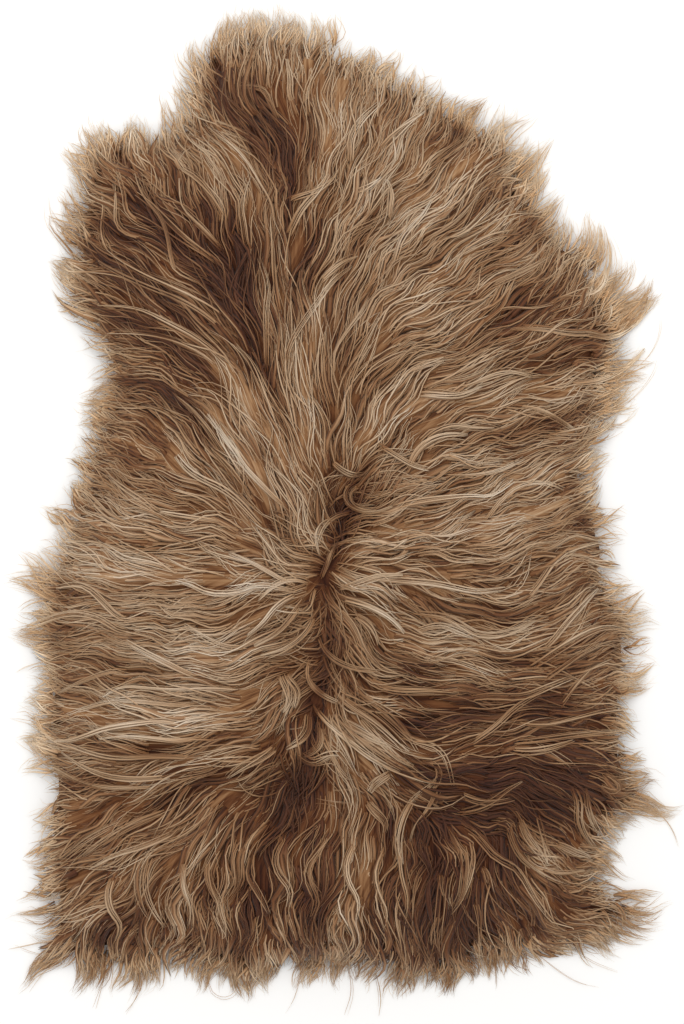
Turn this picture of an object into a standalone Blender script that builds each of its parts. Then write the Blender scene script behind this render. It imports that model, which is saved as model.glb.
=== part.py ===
"""A long-wool sheepskin rug, laid flat with the wool up.

It is one natural piece: a tanned skin with its wool. The solid is the lumpy slab that
the wool fills. It is flat underneath, where the skin lies on the floor, and around its
rim the locks of wool stand out and rest level on the floor.
Metres, +Z up, +Y towards the neck, origin on the floor under the middle.
"""

import math
import random

import bmesh
import bpy
from mathutils import Vector
from mathutils.geometry import delaunay_2d_cdt, intersect_line_line_2d

MM = 0.001

# Driving sizes
RUG_LENGTH = 1.010       # neck wisps to tail wisps
RUG_WIDTH = 0.675        # over the wisps of both sides
PILE_HEIGHT = 0.052      # of the lying wool over the floor, away from the rim
RIM_HEIGHT = 0.017       # where the rim locks leave the slab
RIM_SLOPE = 0.110        # width over which the pile rounds down to the rim
LOCK_PITCH = 0.0128      # root width of a rim lock
LOCK_LENGTH = 0.038      # of a usual rim lock
LOCK_TIP = 0.0030        # width and height of a lock's tip

# The slab's edge, from the neck to the tail: distance towards the neck from the middle,
# and how far it reaches to the left and to the right there, in mm.
SECTIONS = (
    # place,                y,    left, right
    ("neck tip",            472,  -92,  -58),
    ("neck",                450, -122,  -20),
    ("neck base",           420, -133,   46),
    ("left notch",          388, -138,  112),
    ("left shoulder top",   371, -180,  142),
    ("left shoulder round", 354, -228,  158),
    ("shoulders",           318, -249,  173),
    ("under the shoulders", 274, -259,  205),
    ("right shoulder",      236, -261,  244),
    ("fore flanks",         190, -243,  266),
    ("left waist",          128, -221,  264),
    ("middle",               84, -229,  250),
    ("right waist",          40, -243,  234),
    ("hind flanks",         -15, -252,  242),
    ("belly front",         -75, -268,  254),
    ("belly",              -120, -278,  270),
    ("belly back",         -177, -275,  269),
    ("hind leg, fore side", -237, -281,  275),
    ("right hind point",   -286, -272,  288),
    ("right notch",        -332, -272,  252),
    ("hind leg",           -364, -271,  244),
    ("right hind corner",  -398, -269,  272),
    ("left hind corner",   -428, -258,  232),
    ("tail edge",          -443, -176,  158),
    ("tail",               -466,  -45,   80),
)

# How the wool lies: at each place, the way its locks point, in degrees from +X.
# Over the back it parts along the spine. In front it sweeps up to the neck and out over
# the shoulders, on the flanks it lies outwards, and behind it falls towards the tail.
LAY = (
    # place,                 x,    y,  heading
    ("neck tip",            -79,  455,   92),
    ("neck left",          -130,  425,  122),
    ("neck right",           40,  410,   62),
    ("left shoulder",      -225,  345,  132),
    ("left shoulder inner", -160, 310,  108),
    ("left fore edge",     -255,  255,  158),
    ("left fore",          -150,  190,  142),
    ("left waist",         -215,  110,  165),
    ("spine front",         -20,  220,   92),
    ("right shoulder",      150,  340,   55),
    ("right fore",          110,  200,   52),
    ("right fore edge",     250,  200,   24),
    ("right waist",         230,   50,    8),
    ("spine, over the parting", 15, 75,  82),
    ("left flank",         -150,    0,  176),
    ("left flank edge",    -270,  -90,  180),
    ("right flank",         140,  -20,    2),
    ("right flank edge",    260, -100,   -2),
    ("left belly",         -150, -170,  182),
    ("right belly",         150, -170,   -3),
    ("under the parting",   -12, -160,  268),
    ("left hind",          -180, -290,  206),
    ("left hind edge",     -280, -320,  190),
    ("left hind corner",   -262, -425,  196),
    ("tail left",          -150, -430,  246),
    ("tail",                 -5, -440,  268),
    ("tail right",          110, -430,  284),
    ("right hind corner",   235, -420,  -38),
    ("right hind edge",     262, -370,  -14),
    ("right hind point",    285, -290,   -9),
    ("right hind",          170, -300,  -34),
)

# Hollows and crests of the pile that show from a step away.
FORMS = (
    # place,               x,    y,  heading, half length, half width, rise
    ("whorl",              18,   30,   60,      45,          24,       -15),
    ("parting",           -10,  -70,   80,      85,          22,       -17),
    ("left back",        -110,  -60,  178,     120,          60,         6),
    ("right back",        110,  -70,    0,     120,          60,         6),
    ("crest",             -10, -236,    0,     230,          26,         9),
    ("left break",       -130, -276,   10,     120,          17,       -14),
    ("right break",       130, -300,  -14,     120,          17,       -14),
    ("deep gap, left",    -50, -280,   70,      34,          15,       -12),
    ("deep gap, right",    70, -325,   80,      36,          15,       -12),
    ("tail locks",          0, -390,   90,      60,         150,         7),
    ("neck hollow",      -100,  330,   80,      70,          20,       -10),
    ("left shoulder fold", -75, 190,   80,      80,          16,       -11),
    ("right shoulder fold", 45, 260,   70,      70,          16,        -8),
)

# The long wisps of the rim: where each leaves the edge, and its length.
WISPS = (
    # place,                 x,    y,  length
    ("neck left tip",      -115,  462,   36),
    ("neck tip",            -88,  472,   34),
    ("neck right tip",      -48,  466,   36),
    ("right shoulder top",  128,  385,   62),
    ("right shoulder",      160,  350,   66),
    ("right shoulder low",  190,  290,   52),
    ("right fore edge",     262,  215,   64),
    ("right fore low",      266,  165,   60),
    ("right flank",         262, -100,   46),
    ("right belly",         272, -170,   48),
    ("right hind point",    288, -288,   52),
    ("right hind corner",   268, -396,   50),
    ("right hind corner low", 236, -426, 50),
    ("tail right",          150, -446,   46),
    ("tail",                110, -455,   46),
    ("tail middle",          30, -466,   40),
    ("tail left",           -66, -458,   44),
    ("tail far left",      -176, -443,   54),
    ("left hind corner low", -225, -437, 62),
    ("left hind corner",   -266, -418,   66),
    ("left belly low",     -289, -240,   46),
    ("left belly",         -284, -130,   50),
    ("left flank",         -276,  -76,   60),
    ("left waist",         -226,  100,   44),
    ("left fore edge",     -250,  215,   52),
    ("left shoulder",      -250,  330,   54),
    ("left shoulder top",  -200,  366,   46),
)

# The rim's locks
LOCK_STEPS = (0.34, 0.70, 1.0)       # stations along a lock, as shares of its length
LOCK_WIDTHS = (0.92, 0.70)           # its width there, as a share of its root's
LOCK_HEIGHTS = (0.86, 0.52)          # its height there, as a share of the rim's
LOCK_SPREAD = (0.62, 1.15)           # shortest and longest usual lock, to the usual length
LOCK_CURL = 13.0                     # degrees that a lock turns from root to tip
CURL_LOCKS = 11                      # locks from one leftward curl to the next
CURL_SPREAD = 0.3                    # chance share of the curl
WISP_SPREAD = 0.016                  # how far a wisp draws its neighbours out with it
OUTWARD_PULL = 0.75                  # how much the edge turns a lock outwards from the lay
LEAST_OUTWARD = 0.6                  # cosine of the widest angle from straight out

# The pile's lumps, which are its larger locks, and its lay
LUMP_PITCH = 0.044                   # distance between lumps
LUMP_JITTER = 0.011                  # how far a lump is off its row
LUMP_LENGTH = 0.062                  # half length, along the wool
LUMP_WIDTH = 0.019                   # half width
LUMP_RISE = 0.0115
LUMP_SPREAD = (0.45, 1.25)           # lowest and highest lump, to the usual rise
LAY_SOFTNESS = 0.030                 # reach within which one place of the table rules the lay

# The mesh
CURVE_STEP = 0.002                   # of the edge, before it is divided into locks
TOP_PITCH = 0.0150                   # of the pile's surface
TOP_JITTER = 0.0018
TOP_MARGIN = 0.0093                  # from the edge to the first inner points
BASE_PITCH = 0.060                   # of the flat underside
BASE_MARGIN = 0.030
SAME_PLACE = 1e-6                    # points closer than this are one


def heading_vector(degrees):
    return Vector((math.cos(math.radians(degrees)), math.sin(math.radians(degrees))))


def turned(vector, degrees):
    """A flat vector turned to the left."""
    turn = heading_vector(degrees)
    return Vector((vector.x * turn.x - vector.y * turn.y, vector.x * turn.y + vector.y * turn.x))


def lay_at(point):
    """The way the wool points at a place: the table's headings, each weighed by its nearness."""
    total = Vector((0.0, 0.0))
    for _, x, y, heading in LAY:
        distance = (point - Vector((x, y)) * MM).length
        total += heading_vector(heading) / (distance**3 + LAY_SOFTNESS**3)
    return total.normalized()


def edge_curve():
    """The slab's edge as a smooth closed curve, sampled finely and counter-clockwise."""
    left = [Vector((left, y)) * MM for _, y, left, _ in SECTIONS]
    right = [Vector((right, y)) * MM for _, y, _, right in SECTIONS]
    places = left + right[::-1]
    count = len(places)
    chords = [(places[(k + 1) % count] - places[k]).length for k in range(count)]
    curve = []
    for k in range(count):
        before, start = places[k - 1], places[k]
        end, after = places[(k + 1) % count], places[(k + 2) % count]
        chord = chords[k]
        leaving = (end - before) * (chord / (chords[k - 1] + chord))
        arriving = (after - start) * (chord / (chord + chords[(k + 1) % count]))
        steps = max(2, round(chord / CURVE_STEP))
        for step in range(steps):
            t = step / steps
            curve.append(
                start * (2 * t**3 - 3 * t**2 + 1) + leaving * (t**3 - 2 * t**2 + t)
                + end * (3 * t**2 - 2 * t**3) + arriving * (t**3 - t**2)
            )
    return curve


def even_points(curve, pitch):
    """Points a pitch apart along a closed curve."""
    lengths = [(curve[(k + 1) % len(curve)] - curve[k]).length for k in range(len(curve))]
    count = round(sum(lengths) / pitch)
    spacing = sum(lengths) / count
    points, walked, wanted = [], 0.0, 0.0
    for k, length in enumerate(lengths):
        while wanted < walked + length and len(points) < count:
            share = (wanted - walked) / length
            points.append(curve[k].lerp(curve[(k + 1) % len(curve)], share))
            wanted += spacing
        walked += length
    return points


def distance_to_edge(point, rim):
    """How far a place is from the slab's edge."""
    nearest = RUG_LENGTH
    for start, end in zip(rim, rim[1:] + rim[:1]):
        along = end - start
        share = min(max((point - start).dot(along) / along.length_squared, 0.0), 1.0)
        nearest = min(nearest, (point - start - along * share).length)
    return nearest


def inside(point, rim):
    """Whether a place lies within the slab's edge."""
    crossings = 0
    for start, end in zip(rim, rim[1:] + rim[:1]):
        if (start.y > point.y) != (end.y > point.y):
            share = (point.y - start.y) / (end.y - start.y)
            crossings += point.x < start.x + share * (end.x - start.x)
    return crossings % 2 == 1


def lattice(pitch, rim, margin, jitter, rng):
    """Places inside the edge in staggered rows, each a little off its spot."""
    places = []
    row_height = pitch * math.sqrt(3) / 2
    rows = round(RUG_LENGTH / row_height)
    columns = round(RUG_WIDTH / pitch)
    for row in range(rows + 1):
        for column in range(columns + 1):
            x = (column + 0.5 * (row % 2) - columns / 2) * pitch + rng.uniform(-jitter, jitter)
            y = (row - rows / 2) * row_height + rng.uniform(-jitter, jitter)
            place = Vector((x, y))
            if inside(place, rim) and distance_to_edge(place, rim) > margin:
                places.append(place)
    return places


def mound(point, centre, along, half_length, half_width):
    """A soft oval mound, 1 at its centre."""
    offset = point - centre
    across = Vector((-along.y, along.x))
    return math.exp(-((offset.dot(along) / half_length) ** 2) - (offset.dot(across) / half_width) ** 2)


def pile_height(point, distance, lumps):
    """Height of the pile's surface over the floor."""
    share = min(distance / RIM_SLOPE, 1.0)
    rounding = math.sin(share * math.pi / 2)
    height = RIM_HEIGHT + (PILE_HEIGHT - RIM_HEIGHT) * rounding
    relief = max(mound(point, place, along, LUMP_LENGTH, LUMP_WIDTH) * rise for place, along, rise in lumps)
    for _, x, y, heading, half_length, half_width, rise in FORMS:
        relief += rise * MM * mound(
            point, Vector((x, y)) * MM, heading_vector(heading), half_length * MM, half_width * MM
        )
    return height + relief * math.sqrt(rounding)


def pile_lumps(rim, rng):
    """The locks that lie on the pile, as lumps along the lay of the wool."""
    places = lattice(LUMP_PITCH, rim, LUMP_JITTER, LUMP_JITTER, rng)
    return [(place, lay_at(place), LUMP_RISE * rng.uniform(*LUMP_SPREAD)) for place in places]


def rim_locks(rim, rng):
    """The locks of the rim, each with its root, the way it leaves the edge, its length and curl."""
    locks = []
    for k, start in enumerate(rim):
        end = rim[(k + 1) % len(rim)]
        root = (start + end) / 2
        outward = Vector((end.y - start.y, start.x - end.x)).normalized()
        heading = (lay_at(root) + outward * OUTWARD_PULL).normalized()
        if heading.dot(outward) < LEAST_OUTWARD:
            heading = (heading + outward * OUTWARD_PULL).normalized()
        length = LOCK_LENGTH * rng.uniform(*LOCK_SPREAD)
        for _, x, y, wisp in WISPS:
            nearness = math.exp(-(((root - Vector((x, y)) * MM).length / WISP_SPREAD) ** 2))
            length += (wisp * MM - LOCK_LENGTH) * nearness
        curl = LOCK_CURL * (math.sin(math.tau * k / CURL_LOCKS) + rng.uniform(-CURL_SPREAD, CURL_SPREAD))
        locks.append({
            "start": start, "end": end, "root": root, "heading": heading,
            "length": length, "curl": curl, "fullness": 1.0,
        })
    headings = [lock["heading"] for lock in locks]
    for k, lock in enumerate(locks):
        near = (headings[(k + j) % len(locks)] for j in range(-3, 4))
        lock["heading"] = sum(near, Vector((0.0, 0.0))).normalized()
        lock["plan"] = lock_plan(lock)
    part_locks(locks)
    return locks


def part_locks(locks):
    """Shortens, straightens and thins the locks that meet, until they all stand apart."""
    for _ in range(40):
        met = set()
        for k, lock in enumerate(locks):
            for j in range(1, 14):
                other = locks[(k + j) % len(locks)]
                if locks_meet(lock["plan"], other["plan"], neighbours=j == 1):
                    met.add(k if lock["length"] > other["length"] else (k + j) % len(locks))
        if not met:
            return
        for k in met:
            lock = locks[k]
            lock["length"] *= 0.92
            lock["curl"] *= 0.7
            lock["fullness"] *= 0.95
            lock["plan"] = lock_plan(lock)


def lock_plan(lock):
    """A lock from above: its two sides at the root and at each station out to the tip."""
    edge = lock["end"] - lock["start"]
    root_width = abs(edge.cross(lock["heading"])) * lock["fullness"]
    widths = [root_width * share for share in LOCK_WIDTHS] + [LOCK_TIP]
    sides = [(lock["start"], lock["end"])]
    for share, width in zip(LOCK_STEPS, widths):
        way = turned(lock["heading"], lock["curl"] * share)
        centre = lock["root"] + way * (lock["length"] * share)
        across = way.orthogonal() * (width / 2)
        if across.dot(edge) < 0:
            across.negate()
        sides.append((centre - across, centre + across))
    return sides


def locks_meet(plan, other, neighbours):
    """Whether a side of one lock meets a side of another. Neighbours share a corner of the root."""
    if neighbours:
        corner = plan[0][1]
        if (plan[1][1] - corner).cross(other[1][0] - corner) <= 0:
            return True
    for step in range(len(plan) - 1):
        for far in range(len(other) - 1):
            if neighbours and step == 0 and far == 0:
                continue
            for side in (0, 1):
                for other_side in (0, 1):
                    if intersect_line_line_2d(
                        plan[step][side], plan[step + 1][side],
                        other[far][other_side], other[far + 1][other_side],
                    ):
                        return True
    return False


def fill(rim, places, height_of):
    """Points and triangles inside the edge, with the rim's own points first."""
    flat = list(rim) + places
    edges = [(k, (k + 1) % len(rim)) for k in range(len(rim))]
    points, _, faces, origins, _, _ = delaunay_2d_cdt(flat, edges, [], 1, SAME_PLACE)
    heights = [height_of(point, origin[0] < len(rim)) for point, origin in zip(points, origins)]
    return [Vector((p.x, p.y, z)) for p, z in zip(points, heights)], faces, [o[0] for o in origins]


def add_fill(bm, filled, upward):
    """Adds one filled surface and returns its vertices by their place in the list."""
    points, faces, origins = filled
    vertices = {origin: bm.verts.new(point) for point, origin in zip(points, origins)}
    for face in faces:
        corners = [vertices[origins[k]] for k in face]
        a, b, c = (corner.co for corner in corners[:3])
        if ((b - a).cross(c - a).z > 0) != upward:
            corners.reverse()
        bm.faces.new(corners)
    return vertices


def add_lock(bm, wall, plan):
    """Draws one lock out of its piece of the wall, low and level on the floor."""
    face = wall
    heights = [RIM_HEIGHT * share for share in LOCK_HEIGHTS] + [LOCK_TIP]
    for (first, second), (left, right), height in zip(plan, plan[1:], heights):
        corners = [v.co.copy() for v in face.verts]
        face = bmesh.ops.extrude_discrete_faces(bm, faces=[face])["faces"][0]
        for vertex, old in zip(face.verts, corners):
            near = left if (old.xy - first).length < (old.xy - second).length else right
            vertex.co = (near.x, near.y, 0.0 if old.z < SAME_PLACE else height)


def wool_material():
    """Undyed brown wool: soft, dull, warm brown."""
    material = bpy.data.materials.new("brown wool")
    material.use_nodes = True
    shader = material.node_tree.nodes["Principled BSDF"]
    shader.inputs["Base Color"].default_value = (0.195, 0.110, 0.062, 1.0)
    shader.inputs["Roughness"].default_value = 0.75
    shader.inputs["Metallic"].default_value = 0.0
    return material


def make_sheepskin():
    rng = random.Random(11)
    rim = even_points(edge_curve(), LOCK_PITCH)
    lumps = pile_lumps(rim, rng)
    top_places = lattice(TOP_PITCH, rim, TOP_MARGIN, TOP_JITTER, rng)
    base_places = lattice(BASE_PITCH, rim, BASE_MARGIN, 0.0, rng)
    locks = rim_locks(rim, rng)

    def top_height(point, on_rim):
        if on_rim:
            return RIM_HEIGHT
        return pile_height(point, distance_to_edge(point, rim), lumps)

    bm = bmesh.new()
    top = add_fill(bm, fill(rim, top_places, top_height), upward=True)
    base = add_fill(bm, fill(rim, base_places, lambda point, on_rim: 0.0), upward=False)
    for k, lock in enumerate(locks):
        end = (k + 1) % len(rim)
        wall = bm.faces.new((base[k], base[end], top[end], top[k]))
        add_lock(bm, wall, lock["plan"])
    bmesh.ops.triangulate(bm, faces=[face for face in bm.faces if len(face.verts) > 3])
    fit_to_size(bm)

    mesh = bpy.data.meshes.new("sheepskin")
    bm.to_mesh(mesh)
    bm.free()
    mesh.shade_smooth()
    mesh.set_sharp_from_angle(angle=math.radians(50))
    mesh.materials.append(wool_material())
    sheepskin = bpy.data.objects.new("sheepskin", mesh)
    bpy.context.scene.collection.objects.link(sheepskin)


def fit_to_size(bm):
    """Brings the wisps' reach to the rug's own length and width, about the origin."""
    for axis, size in ((0, RUG_WIDTH), (1, RUG_LENGTH)):
        low = min(v.co[axis] for v in bm.verts)
        high = max(v.co[axis] for v in bm.verts)
        for v in bm.verts:
            v.co[axis] = (v.co[axis] - (low + high) / 2) * size / (high - low)


for item in list(bpy.data.objects):
    bpy.data.objects.remove(item)
make_sheepskin()
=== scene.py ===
import math

import bmesh
import bpy
import numpy as np
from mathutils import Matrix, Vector
from mathutils.bvhtree import BVHTree


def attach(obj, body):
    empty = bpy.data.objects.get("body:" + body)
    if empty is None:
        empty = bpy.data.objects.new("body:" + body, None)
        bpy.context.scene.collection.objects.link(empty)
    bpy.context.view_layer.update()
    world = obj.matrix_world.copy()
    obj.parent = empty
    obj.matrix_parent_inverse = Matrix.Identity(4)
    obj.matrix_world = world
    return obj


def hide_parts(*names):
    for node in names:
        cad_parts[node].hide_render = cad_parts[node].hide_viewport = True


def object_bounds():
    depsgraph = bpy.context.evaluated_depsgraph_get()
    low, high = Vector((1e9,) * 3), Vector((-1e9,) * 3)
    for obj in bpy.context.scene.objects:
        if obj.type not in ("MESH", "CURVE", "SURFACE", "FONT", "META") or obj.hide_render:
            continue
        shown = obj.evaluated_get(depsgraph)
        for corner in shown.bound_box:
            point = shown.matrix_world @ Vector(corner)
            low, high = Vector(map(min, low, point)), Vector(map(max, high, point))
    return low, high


# A tanned sheepskin with its long brown wool on. It lies flat, wool up.
# +X is right and +Y is the neck end. Places on the skin are in mm from the left
# edge and from the neck end, as a tape would read them.

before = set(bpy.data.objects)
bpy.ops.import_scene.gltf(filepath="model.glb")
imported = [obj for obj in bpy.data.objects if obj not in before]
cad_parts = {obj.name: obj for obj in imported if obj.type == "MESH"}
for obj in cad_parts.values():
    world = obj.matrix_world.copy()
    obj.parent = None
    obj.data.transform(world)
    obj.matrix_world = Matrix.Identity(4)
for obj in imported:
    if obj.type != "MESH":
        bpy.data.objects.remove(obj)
cadLow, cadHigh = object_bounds()
rugWidth, rugLength = 0.675, 1.010
rng = np.random.default_rng(41)


def toPlace(fromLeft, fromNeck):
    return fromLeft / 1000 - rugWidth / 2, rugLength / 2 - fromNeck / 1000


def smoothStep(value):
    value = np.clip(value, 0, 1)
    return value * value * (3 - 2 * value)


def toLinear(hexColour):
    channels = [int(hexColour[i : i + 2], 16) / 255 for i in (1, 3, 5)]
    return [c / 12.92 if c <= 0.04045 else ((c + 0.055) / 1.055) ** 2.4 for c in channels] + [1.0]


def addNode(tree, kind, settings=None, links=None, stops=()):
    # the stops are a colour ramp's places and colours
    node = tree.nodes.new("ShaderNode" + kind)
    for name, value in (settings or {}).items():
        if isinstance(name, int) or name in node.inputs:
            node.inputs[name].default_value = value
        else:
            setattr(node, name, value)
    for name, socket in (links or {}).items():
        tree.links.new(socket, node.inputs[name])
    if stops:
        elements = node.color_ramp.elements
        while len(elements) < len(stops):
            elements.new(0.5)
        for element, (place, colour) in zip(elements, stops):
            element.position = place
            element.color = toLinear(colour)
    return node


def newMaterial(name, surface):
    material = bpy.data.materials.new(name)
    material.use_nodes = True
    tree = material.node_tree
    shader = tree.nodes["Principled BSDF"]
    for setting, value in surface.items():
        shader.inputs[setting].default_value = value
    return material, tree, shader


def painted(tree, shader, colours, relief=None, height=None):
    # the first colour with the others laid over it, and the relief of its fibres
    colour = colours[0]
    for layer in colours[1:]:
        over = {"data_type": "RGBA", "blend_type": "MULTIPLY", "Factor": 1.0}
        colour = addNode(tree, "Mix", over, {6: colour, 7: layer}).outputs[2]
    tree.links.new(colour, shader.inputs["Base Color"])
    if height:
        bump = addNode(tree, "Bump", relief, {"Height": height})
        tree.links.new(bump.outputs["Normal"], shader.inputs["Normal"])


def woolColour(tree, look):
    # brown by its tone, and paler over the rim: partly the thin hair's lighter colour, partly painted light
    # shining through it
    tone = addNode(tree, "Attribute", {"attribute_name": "tone"}).outputs["Fac"]
    rim = addNode(tree, "Attribute", {"attribute_name": "rim"}).outputs["Fac"]
    body = addNode(tree, "ValToRGB", links={"Fac": tone}, stops=look["body"]).outputs["Color"]
    edge = addNode(tree, "ValToRGB", links={"Fac": tone}, stops=look["edge"]).outputs["Color"]
    return addNode(tree, "Mix", {"data_type": "RGBA"}, {"Factor": rim, 6: body, 7: edge}).outputs[2]


def longWool(name, look):
    # unspun long wool, washed and combed: the fibre's scales scatter light, so it
    # has a soft, wide gloss along the lock and no sharp highlight
    material, tree, shader = newMaterial(name, look["surface"])
    along = addNode(tree, "Attribute", {"attribute_name": "along"}).outputs["Fac"]
    shade = addNode(tree, "ValToRGB", links={"Fac": along}, stops=look["rootToTip"]).outputs["Color"]
    colours = [woolColour(tree, look), shade]
    fibres = None
    if "streaks" in look:
        # a fibre is 0.04 mm thick, too fine to show, so a streak is a group of them
        scale = (1 / look["streakWidth"], 1 / look["streakLength"], 1)
        grain = addNode(tree, "Attribute", {"attribute_name": "grain"}).outputs["Vector"]
        drawn = addNode(tree, "Mapping", {"Scale": scale}, {"Vector": grain}).outputs["Vector"]
        fibres = addNode(
            tree, "TexNoise", {"Scale": 1.0, "Detail": 3.0, "Roughness": 0.7}, {"Vector": drawn}
        ).outputs["Fac"]
        across = addNode(tree, "Attribute", {"attribute_name": "across"}).outputs["Fac"]
        side = addNode(tree, "Math", {"operation": "ABSOLUTE"}, {0: across}).outputs[0]
        # painted shade: a ribbon is painted darker towards its two edges, as a round lock's sides turn from
        # the light
        for factor, stops in ((side, look["flanks"]), (fibres, look["streaks"])):
            colours.append(addNode(tree, "ValToRGB", links={"Fac": factor}, stops=stops).outputs["Color"])
    painted(tree, shader, colours, look["relief"], fibres)
    return material


woolLook = {
    "body": [(0.0, "#57321A"), (0.2, "#7A5231"), (0.42, "#A78562"), (0.7, "#CAB194"), (1.0, "#E4D6C3")],
    # the rim's paler colours, partly the thin hair's own and partly painted light through it
    "edge": [(0.0, "#B48A5E"), (0.3, "#DDBE98"), (0.65, "#F0DCC0"), (1.0, "#FCF3E6")],
    "rootToTip": [(0.0, "#C8A684"), (0.3, "#E2CFBC"), (0.6, "#F8F2EC"), (1.0, "#FFFFFF")],
    "surface": {
        "Roughness": 0.6,
        "Specular IOR Level": 0.25,
        "Sheen Weight": 0.05,
        "Sheen Roughness": 0.4,
    },
    "relief": {"Strength": 0.5, "Distance": 0.0006},
}

# how the wool lies: (from left, from neck, heading), the heading in degrees round from +X
fleeceMap = {
    "neck": [
        (274, 24, 92), (196, 64, 110), (252, 122, 115), (209, 145, 130), (307, 100, 85), (340, 145, 75),
        (360, 100, 75), (404, 122, 60), (470, 90, 60), (491, 145, 55), (534, 145, 60),
    ],
    "left shoulder": [
        (154, 145, 105), (121, 188, 115), (84, 210, 105), (100, 275, 155), (165, 275, 145),
        (209, 297, 140), (230, 318, 125),
    ],
    "front middle": [
        (241, 254, 100), (263, 275, 92), (285, 210, 85), (318, 265, 50), (372, 210, 55),
        (383, 275, 50), (360, 308, 60), (447, 210, 50), (512, 254, 28), (425, 286, 35),
    ],
    "right shoulder": [(578, 232, 80), (578, 297, 25), (621, 275, 65), (654, 308, 55)],
    "left middle": [
        (127, 356, 175), (94, 388, 175), (192, 388, 155), (236, 399, 125), (269, 399, 117),
        (301, 399, 95), (323, 378, 80), (149, 476, 150), (105, 476, 147), (236, 487, 138),
        (279, 508, 130), (40, 526, 150),
    ],
    "left flank": [
        (83, 530, 170), (170, 541, 168), (236, 552, 160), (61, 574, 178), (149, 585, 178),
        (225, 580, 190), (258, 617, 212), (127, 617, 172), (192, 639, 182), (279, 650, 205),
        (29, 628, 200),
    ],
    "right middle": [
        (382, 388, 60), (425, 399, 33), (491, 399, 12), (556, 367, 8), (611, 367, 35), (643, 356, 55),
        (392, 443, 30), (469, 432, 12), (534, 443, 12), (589, 465, 40), (491, 476, 25),
        (403, 498, 18), (512, 530, 18), (600, 487, 20), (621, 530, -30), (621, 563, -50),
    ],
    "right flank": [
        (447, 563, 0), (534, 596, 15), (578, 607, 35), (632, 617, 0), (447, 617, -12), (403, 596, -15),
        (491, 650, -8), (578, 639, 22), (621, 661, 5), (382, 639, -30), (360, 617, -50),
    ],
    "belly": [
        (61, 687, 185), (127, 689, 178), (192, 698, 178), (149, 720, 175), (61, 741, 175),
        (236, 720, 205), (279, 698, 240), (312, 730, 290), (225, 752, 200), (83, 770, 180),
        (371, 709, -38), (425, 709, 5), (491, 720, 10), (556, 709, 8), (611, 709, 0),
        (392, 752, -40), (469, 741, 5), (534, 752, -15), (600, 774, -25), (643, 807, -10),
    ],
    "left hind leg": [
        (149, 796, 208), (192, 807, 215), (127, 833, 205), (83, 807, 190), (236, 829, 250),
        (138, 872, 240), (61, 894, 212), (105, 894, 235), (160, 894, 275), (94, 927, 250),
        (40, 935, 175), (83, 953, 182), (138, 981, 235), (92, 981, 262),
    ],
    "tail": [
        (214, 872, 268), (279, 872, 272), (323, 872, 262), (286, 981, 250), (316, 959, 285),
        (366, 818, 260), (469, 792, 20), (523, 818, 300), (469, 850, 265), (447, 872, 262),
        (491, 938, 285), (447, 938, 262), (382, 938, 278), (360, 992, 275), (392, 981, 270),
    ],
    "right hind leg": [
        (556, 840, -50), (578, 829, -60), (567, 861, -15), (512, 872, -60), (534, 894, -55),
        (589, 894, -30), (621, 905, -15), (621, 931, -5), (556, 938, -35),
    ],
}

# how the wool grows from place to place: (from left, from neck, wave, the wave's
# length, the lock's length, all in mm, and how closely a lock keeps together, 1
# where it lies spread out)
woolPlaces = {
    "neck": (290, 90, 1.8, 48, 110, 0.85),
    "left shoulder": (130, 190, 3.6, 52, 130, 0.75),
    "front middle": (340, 250, 2.8, 60, 130, 1.0),
    "right shoulder": (540, 240, 2.6, 56, 120, 0.95),
    "left middle": (190, 400, 2.2, 64, 130, 1.1),
    "right middle": (540, 430, 2.6, 58, 120, 1.0),
    "whorl": (345, 500, 2.2, 52, 90, 0.9),
    "left flank": (120, 600, 2.2, 56, 120, 1.15),
    "right flank": (540, 620, 2.6, 58, 120, 1.05),
    "ridge": (320, 650, 2.2, 52, 90, 0.9),
    "left belly": (130, 740, 2.3, 56, 115, 1.05),
    "right belly": (530, 740, 2.8, 56, 115, 0.9),
    "left hind leg": (110, 880, 5.6, 72, 130, 0.52),
    "tail": (300, 880, 8.0, 78, 140, 0.42),
    "tail right": (460, 900, 7.6, 78, 140, 0.42),
    "right hind leg": (580, 880, 4.6, 68, 125, 0.58),
}

# how far the wool's own edge lies past the solid's, round the rim from the neck:
# (from left, from neck, mm)
fringes = {
    "neck": (250, 20, -3), "neck right": (346, 45, 4), "neck left tip": (205, 40, 4),
    "neck right low": (400, 74, 5), "neck right end": (447, 97, -8), "right shoulder top": (478, 92, -22),
    "right shoulder": (515, 130, -7), "right fore": (561, 206, -7), "right fore edge": (602, 248, 1),
    "right fore corner": (618, 300, -17), "right fore low": (625, 344, -20), "right waist": (607, 421, -16),
    "right waist low": (596, 482, -14), "right flank top": (600, 520, 1), "right flank": (618, 575, -16),
    "right flank low": (628, 640, 5), "right belly": (632, 690, -14), "right hind point": (640, 780, -12),
    "right hind notch": (610, 850, -17), "right hind corner": (603, 905, -4),
    "tail far right": (560, 935, -20), "tail right": (512, 951, -18), "tail": (415, 978, -26),
    "tail middle": (314, 966, -38), "tail left": (212, 975, -14), "left hind low": (102, 969, -14),
    "left hind corner": (52, 958, 10), "left hind notch": (38, 915, -8), "left hind leg": (32, 883, -2),
    "left belly": (31, 752, -9), "left flank": (28, 661, -14), "left flank top": (32, 586, -7),
    "left waist low": (52, 520, -6), "left waist": (71, 464, -8), "left waist top": (84, 412, -13),
    "left fore low": (82, 345, -12), "left fore": (59, 238, -16), "left shoulder": (65, 180, -14),
    "left shoulder top": (95, 135, 2), "neck left": (166, 94, -8),
}
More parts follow.
